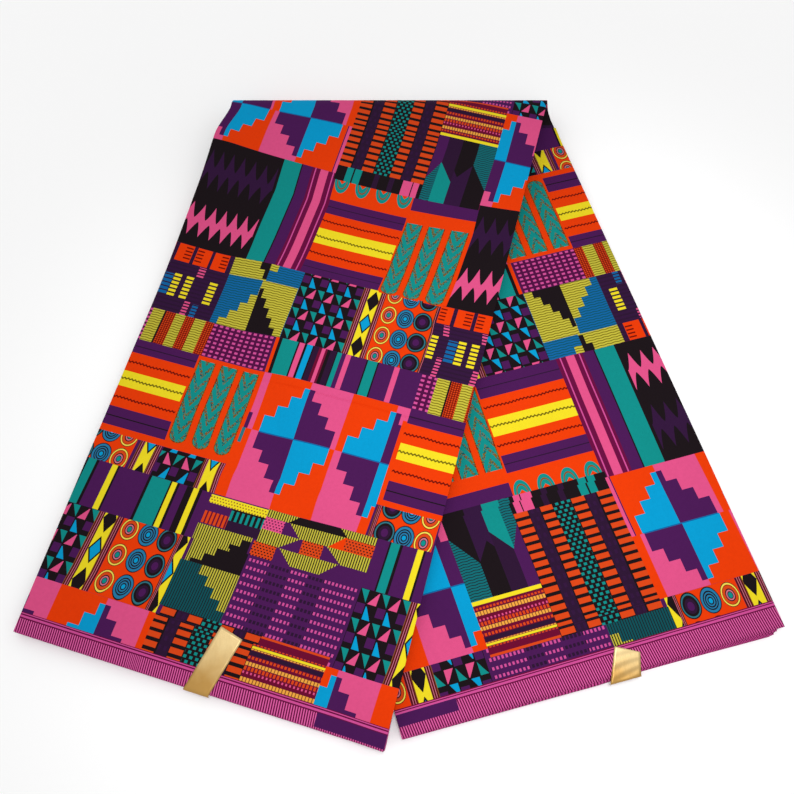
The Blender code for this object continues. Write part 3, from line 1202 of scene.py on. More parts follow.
def make_mesh(
    name: str, points: np.ndarray, quads: np.ndarray, maps: dict[str, np.ndarray]
) -> bpy.types.Mesh:
    """A mesh of quads with its maps.

    Args:
        name: The mesh's name.
        points: Its points.
        quads: Four point numbers for each face.
        maps: For each map, its coordinates at each corner of each face.

    Returns:
        The mesh.
    """
    mesh = bpy.data.meshes.new(name)
    mesh.from_pydata(points.tolist(), [], quads.tolist())
    for title, values in maps.items():
        layer = mesh.uv_layers.new(name=title)
        layer.data.foreach_set("uv", values.astype(np.float32).ravel())
    return mesh


def finish_mesh(name: str, mesh: bpy.types.Mesh) -> bpy.types.Object:
    """Links a mesh as a named piece, shaded smooth.

    Args:
        name: The piece's name.
        mesh: Its mesh.

    Returns:
        The piece.
    """
    piece = bpy.data.objects.new(name, mesh)
    bpy.context.scene.collection.objects.link(piece)
    mesh.polygons.foreach_set("use_smooth", [True] * len(mesh.polygons))
    mesh.update()
    return piece


def evaluated_mesh(piece: bpy.types.Object) -> bpy.types.Mesh:
    """A plain mesh of a piece with its modifiers applied."""
    bpy.context.view_layer.update()
    return bpy.data.meshes.new_from_object(piece.evaluated_get(bpy.context.evaluated_depsgraph_get()))


def thicken(piece: bpy.types.Object, thickness: float, offset: float) -> None:
    """Gives a sheet its thickness, with a rim, for good.

    Args:
        piece: The sheet.
        thickness: The cloth's thickness.
        offset: -1 to grow inwards, 0 to grow both ways.
    """
    wall = piece.modifiers.new("wall", "SOLIDIFY")
    wall.thickness = thickness
    wall.offset = offset
    mesh = evaluated_mesh(piece)
    piece.modifiers.clear()
    thin, piece.data = piece.data, mesh
    bpy.data.meshes.remove(thin)
    mesh.name = piece.name


class Materials:
    """Makes each finish's material once."""

    def __init__(self) -> None:
        """Starts with none."""
        self.made: dict[Cotton, bpy.types.Material] = {}

    def get(self, finish: Cotton) -> bpy.types.Material:
        """The finish's material.

        Args:
            finish: The finish.

        Returns:
            The material, made at the first call.
        """
        if finish not in self.made:
            self.made[finish] = finish.material()
        return self.made[finish]


@dataclass(frozen=True)
class Tail:
    """One tail seen from above: its selvedge corners, and where its edges meet the fold."""

    left: tuple[float, float]
    right: tuple[float, float]
    fold_left: float
    fold_right: float
    fold_y: float = 0.2846

    def up(self) -> np.ndarray:
        """Direction from the selvedge's middle to the fold's middle."""
        foot = np.add(self.left, self.right) / 2
        return unit(np.array(((self.fold_left + self.fold_right) / 2, self.fold_y)) - foot)

    def edges(self) -> tuple[tuple[np.ndarray, np.ndarray], ...]:
        """The left and the right edge.

        Returns:
            The foot of each and its inward direction across it.
        """
        made = []
        for foot, top, side in ((self.left, self.fold_left, 1.0), (self.right, self.fold_right, -1.0)):
            way = unit(np.array((top, self.fold_y)) - np.array(foot))
            made.append((np.array(foot), np.array((way[1], -way[0])) * side))
        return tuple(made)


@dataclass(frozen=True)
class Pack:
    """Sizes of the folded pack.

    The upper tail rises to the fold over reach, and steps up over the lower one over drop. The lower
    plies come down to the floor over settle. The fold's left corner is drawn in by corner, over
    corner_run below the crest and corner_reach across, and from the share corner_hold of the way
    round the fold this fades over corner_fade.
    """

    upper: Tail = Tail((-0.3050, -0.2150), (-0.0120, -0.3010), -0.1740, 0.1470)
    lower: Tail = Tail((0.0020, -0.2930), (0.3065, -0.2160), -0.1710, 0.1580)
    thickness: float = 0.0085
    gap: float = 0.0003
    wall: float = 0.0012
    fold_y: float = 0.2846
    fold_height: float = 0.032
    reach: float = 0.21
    drop: float = 0.048
    settle: float = 0.03
    corner: float = 0.0065
    corner_run: float = 0.032
    corner_reach: float = 0.07
    corner_hold: float = 0.45
    corner_fade: float = 0.4
    slope_step: float = 0.001

    @property
    def radius(self) -> float:
        """Radius of the fold."""
        return self.fold_height / 2

    def upper_height(self, x: np.ndarray, y: np.ndarray) -> np.ndarray:
        """Height of the upper tail's face: on the floor, on the lower tail, and rising to the fold.

        Args:
            x: Places across.
            y: Places up.

        Returns:
            The heights.
        """
        top = np.array((self.lower.fold_left, self.fold_y))
        way = np.array(self.lower.left) - top
        over = ((x - top[0]) * -way[1] + (y - top[1]) * way[0]) / np.linalg.norm(way)
        flat = self.thickness + (self.thickness + self.gap) * smooth((over + self.drop) / self.drop)
        rise = self.fold_height - 2 * self.thickness - self.gap
        return flat + rise * (1.0 - smooth((self.fold_y - y) / self.reach))

    def roll_ends(self, turned: np.ndarray | float) -> tuple:
        """Where the fold's left and right ends lie, at a share of the way round it."""
        left = self.upper.fold_left + (self.lower.fold_left - self.upper.fold_left) * turned
        return left, self.upper.fold_right + (self.lower.fold_right - self.upper.fold_right) * turned

    def roll_corner(self, turned: np.ndarray | float) -> np.ndarray:
        """How much of the drawn-in corner is left, at a share of the way round the fold."""
        return 1.0 - smooth((turned - self.corner_hold) / self.corner_fade)

    def draw_in(self, x: np.ndarray, left: np.ndarray, share: np.ndarray) -> np.ndarray:
        """How far the fold's left corner is drawn in.

        Args:
            x: Places across.
            left: Where the left edge lies.
            share: 0 away from the fold, 1 on its crest.

        Returns:
            The distance to the right.
        """
        return self.corner * smooth(share) * smooth((left + self.corner_reach - x) / self.corner_reach)

    def upper_face(self, x: np.ndarray, y: np.ndarray) -> tuple[np.ndarray, np.ndarray]:
        """The upper tail's face, with what lies past the fold's crest turned down round the fold.

        Args:
            x: Place across, laid out flat.
            y: Place up, laid out flat.

        Returns:
            Points and directions out of the face.
        """
        step, height = self.slope_step, self.upper_height
        flat_y = np.minimum(y, self.fold_y)
        zx = (height(x + step, flat_y) - height(x - step, flat_y)) / (2 * step)
        zy = (height(x, flat_y + step) - height(x, flat_y - step)) / (2 * step)
        zy = np.where(y > self.fold_y - step, 0.0, zy)
        normal = unit(np.stack((-zx, -zy, np.ones_like(x)), -1))
        point = np.stack((x, flat_y, height(x, flat_y)), -1)
        beyond = y - self.fold_y
        turn = np.maximum(beyond, 0.0) / self.radius
        past = turn > 0.0
        left, right = (
            top + beyond * (top - foot[0]) / (self.fold_y - foot[1])
            for top, (foot, _) in zip((self.upper.fold_left, self.upper.fold_right), self.upper.edges())
        )
        new_left, new_right = self.roll_ends(turn / math.pi)
        new_x = new_left + (new_right - new_left) * (x - left) / (right - left)
        rolled = np.stack((np.zeros_like(x), np.sin(turn), np.cos(turn)), -1)
        centre = np.stack((new_x, np.full_like(x, self.fold_y), np.full_like(x, self.radius)), -1)
        point = np.where(past[:, None], centre + rolled * self.radius, point)
        normal = np.where(past[:, None], rolled, normal)
        near = np.where(past, self.roll_corner(turn / math.pi), 1.0 + beyond / self.corner_run)
        point[:, 0] += self.draw_in(point[:, 0], np.where(past, new_left, left), near)
        return point, normal

    def lower_lift(self, y: np.ndarray) -> np.ndarray:
        """How far the lower plies stand off the floor where they come out of the fold."""
        return (self.wall + self.gap) * (1.0 - smooth((self.fold_y - y) / self.settle))

    def lower_face(self, x: np.ndarray, y: np.ndarray) -> tuple[np.ndarray, np.ndarray]:
        """The lower tail's face.

        Args:
            x: Places across.
            y: Places up.

        Returns:
            Points and directions out of the face.
        """
        point = np.stack((x, y, self.thickness + self.lower_lift(y)), -1)
        return point, np.tile((0.0, 0.0, 1.0), (len(x), 1))

    def face(self, on_top: bool, plan: np.ndarray) -> tuple[np.ndarray, np.ndarray]:
        """Points of the upper or the lower face over places on the plan, and directions out of it."""
        return (self.upper_face if on_top else self.lower_face)(plan[:, 0], plan[:, 1])


MATERIALS = Materials()
CHART = Chart()
PACK = Pack()


@dataclass(frozen=True)
class Crease:
    """A soft trough or ridge in a face, between two places on the tail, in millimetres."""

    from_u: float
    from_v: float
    to_u: float
    to_v: float
    depth: float
    width: float


@dataclass(frozen=True)
class Lay:
    """How the print lies on a tail: millimetres along the selvedge and up from it, for a chart place.

    Slips are rows of chart height and the sideways slip at each station along the selvedge. Rises are
    rows of chart height, distance up at the left edge and the right edge, and the middle's sag.
    """

    scale: float
    offset: float
    slips: tuple
    rises: tuple
    stations: tuple = (0.0,)
    width: float = 305.0

    def place(self, x: np.ndarray, y: np.ndarray) -> tuple[np.ndarray, np.ndarray]:
        """Where chart places lie on the tail.

        Args:
            x: Chart places across.
            y: Chart places up.

        Returns:
            Distance along the selvedge and up from it.
        """
        slips, rises = np.array(self.slips), np.array(self.rises)
        columns = [np.interp(y, slips[:, 0], slips[:, k]) for k in range(1, slips.shape[1])]
        u = self.scale * x + self.offset
        spot = np.interp(u + columns[0], self.stations, np.arange(len(self.stations)))
        u = u + sum(slip * np.maximum(1.0 - np.abs(spot - k), 0.0) for k, slip in enumerate(columns))
        t = np.clip(u / self.width, 0.0, 1.0)
        left, right, sag = (np.interp(y, rises[:, 0], rises[:, k]) for k in (1, 2, 3))
        for edge, inner, past in ((0, 1, y < rises[0, 0]), (-1, -2, y > rises[-1, 0])):
            slope = (rises[edge, 1] - rises[inner, 1]) / (rises[edge, 0] - rises[inner, 0])
            left, right = (
                np.where(past, rises[edge, k] + (y - rises[edge, 0]) * slope, side)
                for k, side in ((1, left), (2, right))
            )
        return u, left + (right - left) * t + sag * 4 * t * (1 - t)


def level(height: float, slip: float, last: float | None = None) -> tuple:
    """A row of slips that are alike at every station, but for the last one where it differs."""
    return (height, slip, slip, slip, slip, slip, slip if last is None else last)


UPPER_LAY = Lay(
    0.971,
    0.0,
    slips=(
        (-46, -5, -5, -8.8, -9.6, -5.6, -6.4), (-28, -4.8, -4.8, -8.3, -9, -5.1, -5.8),
        (-0.15, -3.8, -3.8, -6.5, -6.8, -3.2, -4.3), level(0, -3), level(14, -1), level(61.85, 3),
        level(62, 1.2), level(103.85, 3.3), (104, -0.3, -0.3, -1.5, -1.5, -1, 0),
        (121, 1, 1, -1.8, -1.8, 0.2, 0.9), (130, 1.8, 1.8, -0.5, -0.5, 0.8, 1.7),
        (162.5, 1.2, 1.2, 0.5, 0.5, 2.2, 2.5), (204, 2.6, 2.6, 1.5, 1.5, 4.2, 3.5),
        (216.85, 2.8, 2.8, 2, 2, 4.6, 3.8), level(217, 7.5, 8.7), level(250.85, 8.5, 9.7),
        level(251, 8.5, 12.2), level(264, 9, 13.6), level(292, 9.9, 14.6), level(303, 10.3, 13),
        level(320.85, 11, 13.6), level(321, 11, 12.8), level(354, 14, 15.8), level(405, 17.6, 19.4),
        (434, 16.5, 16.5, 16.5, 17.3, 18.5, 19), (489, 17, 18, 18, 19.8, 21.3, 21.6),
        (560, 17.5, 18.5, 18.5, 20.2, 21.8, 22.2),
    ),
    rises=(
        (-46, 0, 0, 0), (-17, 30, 31.3, 0), (-7, 39.7, 40.8, 0), (0, 44.5, 45.5, 0), (3, 49, 49, 0),
        (6, 52, 52, 0), (62, 108, 110, 0), (104, 148.3, 151.2, -0.8), (130, 174.3, 177.8, 0),
        (134, 180.3, 182.5, 0), (217, 263.5, 266, 0), (251, 297, 300.5, 0), (321, 367.5, 371.5, -2),
        (340.5, 386, 390.5, -7.3), (377, 422, 428, -9.5), (411, 455, 459.5, -11), (436, 480.6, 484, -8),
        (489, 525, 533, 1), (505.5, 541.5, 547, 0), (543, 582.5, 588.8, 0), (600, 640, 647, 0),
    ),
    stations=(0.0, 95.0, 110.0, 185.0, 245.0, 262.0),
)
LOWER_LAY = Lay(
    -1.0,
    338.0,
    slips=(
        (103.85, 0), (104, -2.5), (129.85, -2.5), (130, 0), (216.85, 0), (217, -3.3), (250.85, -3.3),
        (251, 0), (436.35, 0), (436.5, -1.6), (489, 0.8), (543, 2.6), (587, 3),
    ),
    rises=tuple(
        (height, up, up, 0)
        for height, up in (
            (-30, 622), (104, 487), (130, 460), (134, 454.3), (216.5, 371), (250.5, 337), (321, 265.5),
            (436.5, 150.8), (489, 98), (504.5, 82.4), (515, 71.1), (525.5, 60.1), (535.5, 50),
            (543, 45.3), (553, 33.8), (565.5, 21.5), (587, 0),
        )
    ),
)

LOWER_SELVEDGE_LINE = ((0.0020, -0.2930), (0.3050, -0.2115))


@dataclass
class PrintedFace:
    """The face of one tail: a single printed ply, its sides turned under.

    Window is the part of the chart that it takes, and top is how far up the cloth reaches. Lines at
    ruled are for a fine crease, and above fine_from they lie closer, for the fold.
    """

    name: str
    tail: Tail
    on_top: bool
    line: tuple[tuple[float, float], tuple[float, float]]
    top: float
    lay: Lay
    window: tuple[float, float, float, float]
    selvedge: list[Patch]
    creases: tuple[Crease, ...]
    seed: float
    ruled: tuple[float, ...] = ()
    fine_from: float = math.inf
    fill: float = 7.0
    fine_fill: float = 3.2
    nearest: float = 0.05
    cloth: float = 0.00025
    bend: float = 0.00035
    lip: float = 0.0015
    unevenness: float = 0.00022
    finishes: list[Cotton] = field(default_factory=list)

    def rule(self, low: float, high: float, edges: list[float], fine_from: float) -> np.ndarray:
        """Lines at the patches' edges, with more between those far apart.

        Args:
            low: Where the window starts.
            high: Where it ends.
            edges: Every edge.
            fine_from: Where the lines begin to lie closer.

        Returns:
            The lines' places on the chart.
        """
        places = sorted(v for v in {low, high, *edges} if low <= v <= high)
        kept = [places[0]]
        for value in places[1:]:
            start = kept[-1]
            if value - start < self.nearest:
                continue
            pieces = math.ceil((value - start) / (self.fine_fill if value > fine_from else self.fill))
            kept.extend(start + (value - start) * k / pieces for k in range(1, pieces + 1))
        return np.array(kept)

    def flat_mesh(self) -> bmesh.types.BMesh:
        """The chart ruled into cells, laid out flat on the tail's plan, each cell with its finish.

        Returns:
            The flat cloth.
        """
        patches = CHART.repeats(self.window) + self.selvedge
        left, right, low, high = self.window
        sides = [round(side, 3) for p in patches for side in (p.left, p.right)]
        levels = [round(side, 3) for p in patches for side in (p.low, p.high)]
        xs = self.rule(left, right, sides, math.inf)
        ys = self.rule(low, high, [*levels, *self.ruled], self.fine_from)
        mid_x, mid_y = (xs[1:] + xs[:-1]) / 2, (ys[1:] + ys[:-1]) / 2
        owner = np.full((len(mid_y), len(mid_x)), -1)
        for k, p in enumerate(patches):
            rows = (mid_y > p.low) & (mid_y < p.high)
            owner[np.ix_(rows, (mid_x > p.left) & (mid_x < p.right))] = k
        grid = np.stack(np.meshgrid(xs, ys), -1).reshape(-1, 2)
        plan = np.pad(self.plan(grid[:, 0], grid[:, 1]), ((0, 0), (0, 1)))
        quads = grid_quads(len(ys), len(xs))
        chart = grid[quads.ravel()]
        used = owner.ravel()
        corner = np.array([(patches[k].left, patches[k].low) for k in used])
        motif = chart - np.repeat(corner, 4, axis=0)
        mesh = make_mesh(self.name + "_flat", plan, quads, {"chart": chart, "motif": motif})
        self.finishes = list(dict.fromkeys(patches[k].finish for k in used))
        index = {f: i for i, f in enumerate(self.finishes)}
        mesh.polygons.foreach_set("material_index", [index[patches[k].finish] for k in used])
        flat = bmesh.new()
        flat.from_mesh(mesh)
        bpy.data.meshes.remove(mesh)
        return flat

    def frame(self) -> tuple[np.ndarray, np.ndarray, np.ndarray]:
        """The print's own axes on the plan.

        Returns:
            Its corner, and the directions along the selvedge and up.
        """
        left, right = self.line
        up = Tail(left, right, self.tail.fold_left, self.tail.fold_right).up()
        return np.array(left), unit(np.subtract(right, left)), up

    def plan(self, x: np.ndarray, y: np.ndarray) -> np.ndarray:
        """Where chart places lie on the flat plan, the way up the tail measured along the cloth.

        Args:
            x: Chart places across.
            y: Chart places up.

        Returns:
            The places on the plan.
        """
        u, v = (part * MM for part in self.lay.place(x, y))
        foot, across, up = self.frame()
        if not self.on_top:
            return foot + across * u[:, None] + up * v[:, None]
        marks = np.linspace(-0.02, 0.34, 49)
        ways = np.linspace(-0.02, 0.72, 741)
        tables = []
        for mark in marks:
            line = foot + across * mark + up * ways[:, None]
            z = PACK.upper_height(line[:, 0], np.minimum(line[:, 1], PACK.fold_y))
            length = np.concatenate(([0.0], np.cumsum(np.hypot(np.diff(ways), np.diff(z)))))
            length -= np.interp(0.0, ways, length)
            tables.append(np.interp(v, length, ways))
        tables = np.array(tables)
        spot = np.clip((u - marks[0]) / (marks[1] - marks[0]), 0, len(marks) - 1.001)
        low, every = spot.astype(int), np.arange(len(u))
        share = spot - low
        way = tables[low, every] * (1 - share) + tables[low + 1, every] * share
        return foot + across * u[:, None] + up * way[:, None]

    def cut(self, flat: bmesh.types.BMesh, point: np.ndarray, way: np.ndarray, clear: bool) -> None:
        """Cuts or scores the flat cloth along a line.

        Args:
            flat: The flat cloth.
            point: A place on the line.
            way: The direction across it, towards what is cleared.
            clear: Whether the cloth past it is cut off.
        """
        bmesh.ops.bisect_plane(
            flat,
            geom=flat.verts[:] + flat.edges[:] + flat.faces[:],
            dist=1e-7,
            plane_co=(point[0], point[1], 0.0),
            plane_no=(way[0], way[1], 0.0),
            clear_outer=clear,
        )

    def trim(self, flat: bmesh.types.BMesh) -> None:
        """Cuts the flat cloth to the tail, and scores it where its sides turn under.

        Args:
            flat: The flat cloth.
        """
        run = math.pi * self.bend
        spare = run + self.lip - self.bend
        foot, across, _ = self.frame()
        cuts = [(foot, np.array((-across[1], across[0]))), (np.array((0.0, self.top)), np.array((0.0, -1.0)))]
        cuts += [(foot - inward * spare, inward) for foot, inward in self.tail.edges()]
        for point, inward in cuts:
            self.cut(flat, point, -inward, True)
        for foot, inward in self.tail.edges():
            for share in (0.0, 0.33, 0.67, 1.0):
                self.cut(flat, foot + inward * (self.bend - run * share), inward, False)
        bmesh.ops.remove_doubles(flat, verts=flat.verts[:], dist=4e-6)
        bmesh.ops.dissolve_degenerate(flat, edges=flat.edges[:], dist=2e-6)

    def relief(self, flat: np.ndarray) -> np.ndarray:
        """How far the cloth stands off its smooth form: soft creases and a little unevenness.

        Args:
            flat: Places on the plan.

        Returns:
            The heights.
        """
        foot, across, _ = self.frame()
        up = self.tail.up()
        square = np.array(((across[0], up[0]), (across[1], up[1])))
        u, v = np.linalg.solve(square, (flat - foot).T) / MM
        made = ripple(flat[:, 0], flat[:, 1], self.seed) * self.unevenness
        for crease in self.creases:
            way = np.array((crease.to_u - crease.from_u, crease.to_v - crease.from_v))
            length = np.linalg.norm(way)
            along = ((u - crease.from_u) * way[0] + (v - crease.from_v) * way[1]) / length
            side = ((u - crease.from_u) * -way[1] + (v - crease.from_v) * way[0]) / length
            fade = smooth(along / (0.25 * length)) * smooth((length - along) / (0.25 * length))
            made = made - crease.depth * MM * fade * np.exp(-((side / crease.width) ** 2))
        return made

    def shape(self, flat: np.ndarray) -> np.ndarray:
        """Takes the flat cloth to its place, its sides turned under.

        Args:
            flat: Places on the plan.

        Returns:
            The points.
        """
        point, side, turn, back = flat.copy(), np.zeros_like(flat), np.zeros(len(flat)), np.zeros(len(flat))
        for foot, inward in self.tail.edges():
            over = np.maximum(self.bend - (flat - foot) @ inward, 0.0)
            hit = over > 0
            point = point + inward * over[:, None]
            turn = np.where(hit, np.minimum(over / self.bend, math.pi), turn)
            back = np.where(hit, np.maximum(over - math.pi * self.bend, 0.0), back)
            side = np.where(hit[:, None], -inward, side)
        base, normal = PACK.face(self.on_top, point)
        out = np.pad(side, ((0, 0), (0, 1)))
        out = out - normal * np.sum(out * normal, -1, keepdims=True)
        reach = self.bend * np.sin(turn) - back
        drop = self.bend * (1.0 - np.cos(turn))
        crest = smooth((point[:, 1] - PACK.fold_y + 0.01) / 0.01)
        lift = self.relief(point) * (1.0 - crest)
        return base + out * reach[:, None] + normal * (lift - drop)[:, None]

    def build(self) -> bpy.types.Object:
        """The finished face.

        Returns:
            The piece.
        """
        flat = self.flat_mesh()
        self.trim(flat)
        mesh = bpy.data.meshes.new(self.name)
        flat.to_mesh(mesh)
        flat.free()
        values = np.zeros(len(mesh.vertices) * 3, np.float32)
        mesh.vertices.foreach_get("co", values)
        placed = self.shape(values.reshape(-1, 3)[:, :2].astype(float))
        mesh.vertices.foreach_set("co", placed.astype(np.float32).ravel())
        for finish in self.finishes:
            mesh.materials.append(MATERIALS.get(finish))
        piece = finish_mesh(self.name, mesh)
        thicken(piece, self.cloth, -1.0)
        return piece


@dataclass(frozen=True)
class PlyEdges(Cotton):
    """The hidden plies: bits of the print along their folds, and the pink selvedge at their ends. The bits
    are print dyes weighted to dark ones, as painted shade where the ply sides lie in shadow at the fold.
    """

    name: str = "hidden_plies"
    end: float = 18.0
    bit: float = 27.0
    play: float = 13.0
    # Print dyes, mostly dark: partly the print's own colours, partly painted shade for the ply sides in the
    # fold's shadow.
    dyes: tuple[Dye, ...] = (
        *(Dye.PURPLE, Dye.BLACK, Dye.WINE, Dye.DUSK, Dye.TEAL),
        *(Dye.PURPLE, Dye.BLACK, Dye.RUNG, Dye.SHADE, Dye.PINK),
    )

    def colour(self, tree: Tree) -> Value:
        """Bits of the print's dyes by the way along the pack and the ply, and ticks near the ends.

        Args:
            tree: The material's tree.

        Returns:
            The colour.
        """
        x, y = tree.map("chart")
        shift = (y.count(1.0) * 2.7).sine() * self.play
        fleck = tree.flecks((x + shift).count(self.bit), y.count(1.0))
        ramp = tree.node("ShaderNodeValToRGB")
        ramp.color_ramp.interpolation = "CONSTANT"
        elements = ramp.color_ramp.elements
        while len(elements) < len(self.dyes):
            elements.new(0.5)
        for k, dye in enumerate(self.dyes):
            elements[k].position = k / len(self.dyes)
            elements[k].color = dye.rgba
        tree.feed(ramp.inputs[0], fleck)
        end, across = tree.map("motif")
        ticks = tree.mix(across.turn(2.3) < 0.6, Dye.MAGENTA, Dye.TICK)
        return tree.mix(end < self.end, Value(tree, ramp.outputs[0]), ticks)


@dataclass(frozen=True)
class FoldedPlies:
    """The hidden plies: one cloth folded to and fro, its ends a little uneven.

    Near the lower selvedge the inner plies' right half lies back by set_back, and their right corner
    is drawn in by corner over the share corner_run of the tail.
    """

    name: str = "folded_plies"
    plies: int = 17
    ply_width: float = 305.0
    face_room: float = 0.0011
    cloth: float = 0.00024
    across: int = 24
    upper_steps: int = 34
    roll_steps: int = 12
    lower_steps: int = 34
    side_play: float = 0.0011
    end_play: float = 0.0008
    bulge: float = 0.00018
    side_room: float = 0.0006
    set_back: float = 0.0046
    corner: float = 0.0115
    corner_run: float = 0.032 / 0.58
    seed: int = 11

    def path(self) -> list[tuple[str, float]]:
        """Stations from the upper selvedge round the fold to the lower one.

        Returns:
            The stretch of the pack, and the share of a tail or the angle round the fold, of each.
        """
        upper = [("upper", k / self.upper_steps) for k in range(self.upper_steps + 1)]
        upper.insert(1, ("upper", 0.008))
        roll = [("roll", math.pi * k / self.roll_steps) for k in range(1, self.roll_steps)]
        lower = [("lower", k / self.lower_steps) for k in range(self.lower_steps + 1)]
        lower.insert(-1, ("lower", 0.992))
        lower.insert(-2, ("lower", 0.984))
        return upper + roll + lower

    def station(self, part: str, at: float, share: np.ndarray) -> tuple[np.ndarray, np.ndarray]:
        """Points and outward directions across one station.

        Args:
            part: Which stretch of the pack.
            at: How far along it.
            share: Shares of the width.

        Returns:
            The points on the pack's outer face, and the directions out of it.
        """
        if part == "roll":
            left, right = PACK.roll_ends(at / math.pi)
            normal = np.tile((0.0, math.sin(at), math.cos(at)), (len(share), 1))
            x = left + (right - left) * share
            x = x + PACK.draw_in(x, left, PACK.roll_corner(at / math.pi))
            centre = np.stack((x, np.full_like(x, PACK.fold_y), np.full_like(x, PACK.radius)), -1)
            return centre + normal * PACK.radius, normal
        tail, up = (PACK.upper, at) if part == "upper" else (PACK.lower, 1.0 - at)
        left, right = (
            np.array(foot) + (np.array((top, PACK.fold_y)) - foot) * up
            for foot, top in ((tail.left, tail.fold_left), (tail.right, tail.fold_right))
        )
        plan = left + (right - left) * share[:, None]
        if part == "upper":
            return PACK.upper_face(plan[:, 0], plan[:, 1])
        point = np.column_stack((plan, PACK.lower_lift(plan[:, 1]) * 0.3))
        return point, np.tile((0.0, 0.0, -1.0), (len(share), 1))

    def sheet_line(self) -> tuple[np.ndarray, np.ndarray, np.ndarray]:
        """The zigzag across one station.

        Returns:
            Share of the width, depth, and ply number with its fraction, of each point.
        """
        pitch = (PACK.thickness - self.face_room - self.cloth) / self.plies
        points = []
        for ply in range(self.plies):
            run = np.linspace(0.0, 1.0, self.across + 1)[:: -1 if ply % 2 else 1]
            depth = self.face_room + pitch * (ply + 0.5)
            points.extend((share, depth, ply + 0.5) for share in run)
            if ply < self.plies - 1:
                points.extend((run[-1], depth + pitch * turn, ply + 0.5 + turn * 0.4) for turn in (0.3, 0.7))
        share, depth, number = np.array(points).T
        return share, depth, number

    def end_shift(
        self, part: str, at: float, share: np.ndarray, outer: np.ndarray, play: np.ndarray
    ) -> np.ndarray:
        """How far the plies move on the plan near a selvedge.

        Args:
            part: Which tail.
            at: How far along it.
            share: Shares of the width.
            outer: 1 at the outer ply, 0 at the innermost one.
            play: How far each ply's end stands out.

        Returns:
            The ways.
        """
        up = (PACK.upper if part == "upper" else PACK.lower).up()
        weight = smooth(((at if part == "lower" else 1.0 - at) - 0.9) / 0.1)
        shift = play * weight
        if part == "upper":
            return -up * shift[:, None]
        back = self.set_back * smooth((share - 0.5) / 0.12) * (1.0 - outer) * weight
        near = max(1.0 - (1.0 - at) / self.corner_run, 0.0)
        draw = self.corner * near**2 * smooth((share - 0.7) / 0.3) * (0.35 + 0.65 * outer)
        return np.array((-up[1], up[0])) * draw[:, None] - up * (shift - back)[:, None]

    def build(self) -> bpy.types.Object:
        """The finished plies.

        Returns:
            The piece.
        """
        share, depth, number = self.sheet_line()
        rng = np.random.default_rng(self.seed)
        play = rng.uniform(-1.0, 0.15, (self.plies + 1, 2)) * self.side_play
        ends = rng.uniform(-1.0, 0.6, (self.plies + 1, 2)) * self.end_play
        ply = np.minimum(number.astype(int), self.plies - 1)
        outer = 1.0 - np.clip(number / self.plies, 0.0, 1.0)
        half = np.where(share > 0.5, 1, 0)
        still = np.abs(np.diff(share)) < 1e-9
        bulge = np.pad(np.where(still[:-1] & still[1:], self.bulge, 0.0), 1)
        at_edge = smooth((np.abs(share - 0.5) - 0.36) / 0.14) * (2 * half - 1)
        rows, lengths = [], [0.0]
        for part, at in self.path():
            point, normal = self.station(part, at, share)
            line = self.station(part, at, np.array((0.0, 1.0)))[0]
            side = unit(line[1] - line[0])
            wander = 0.45 + 0.55 * np.sin(3.1 * at + 1.9 * ply + (0.0 if part == "upper" else 2.0))
            reach = (play[ply, half] * wander + bulge - self.side_room) * at_edge
            turned = {"upper": 0.0, "roll": smooth((at / math.pi - 0.82) / 0.18), "lower": 1.0}[part]
            deep = depth - turned * (self.face_room - self.cloth)
            moved = point + side * reach[:, None] - normal * deep[:, None]
            if part != "roll":
                end = ends[ply, 0 if part == "upper" else 1]
                moved[:, :2] += self.end_shift(part, at, share, outer, end)
            moved[:, 2] = np.maximum(moved[:, 2], self.cloth / 2)
            if rows:
                lengths.append(lengths[-1] + float(np.linalg.norm(moved - rows[-1], axis=1).mean()))
            rows.append(moved)
        return self.sheet_mesh(np.array(rows), np.array(lengths), number)

    def sheet_mesh(self, rows: np.ndarray, lengths: np.ndarray, number: np.ndarray) -> bpy.types.Object:
        """Makes the mesh of the folded sheet.

        Args:
            rows: Points of every station.
            lengths: Way along the pack of each station.
            number: Ply number of each point across.

        Returns:
            The finished piece.
        """
        high, wide = rows.shape[:2]
        quads = grid_quads(high, wide)
        along = np.repeat(lengths / MM, wide)
        across = np.tile(np.linspace(0.0, self.ply_width * self.plies, wide), high)
        end = np.minimum(along, lengths[-1] / MM - along)
        maps = {"chart": (along, np.tile(number, high)), "motif": (end, across)}
        at_corners = {name: np.stack(pair, -1)[quads.ravel()] for name, pair in maps.items()}
        mesh = make_mesh(self.name, rows.reshape(-1, 3), quads, at_corners)
        mesh.materials.append(MATERIALS.get(PlyEdges()))
        piece = finish_mesh(self.name, mesh)
        thicken(piece, self.cloth, 0.0)
        return piece


@dataclass(frozen=True)
class Foil:
    """Satin gold foil paper, a little crinkled, with painted shading: its colour runs from a painted shade at
    its foot to a painted highlight at its head.
    """

    name: str
    foot: float
    head: float
    # bright is the colour of the painted highlight, deep the colour of the painted shade.
    bright: tuple[float, ...] = (0.66, 0.50, 0.24, 1.0)
    deep: tuple[float, ...] = (0.40, 0.22, 0.05, 1.0)

    def material(self) -> bpy.types.Material:
        """The foil's material.

        Returns:
            The material.
        """
        tree = Tree(self.name)
        cloud = tree.noise(38.0, 3.0)
        crinkle = tree.noise(160.0, 4.0, (1.0, 0.5, 1.0))
        place = tree.node("ShaderNodeTexCoord").outputs["Object"]
        # Painted shade and highlight: the colour goes from deep to bright up the band, in cloudy patches.
        up = (tree.parts(place)[1] - self.foot) / (self.head - self.foot)
        share = up * 1.1 + (cloud * 1.2 - 0.65)
        colour = tree.mix(share.at_least(0.0).at_most(1.0), self.deep, self.bright)
        look = {"Roughness": 0.38, "Metallic": 0.75, "Coat Weight": 0.15, "Coat Roughness": 0.3}
        return tree.shader(colour, crinkle, 0.3, 0.0004, look)


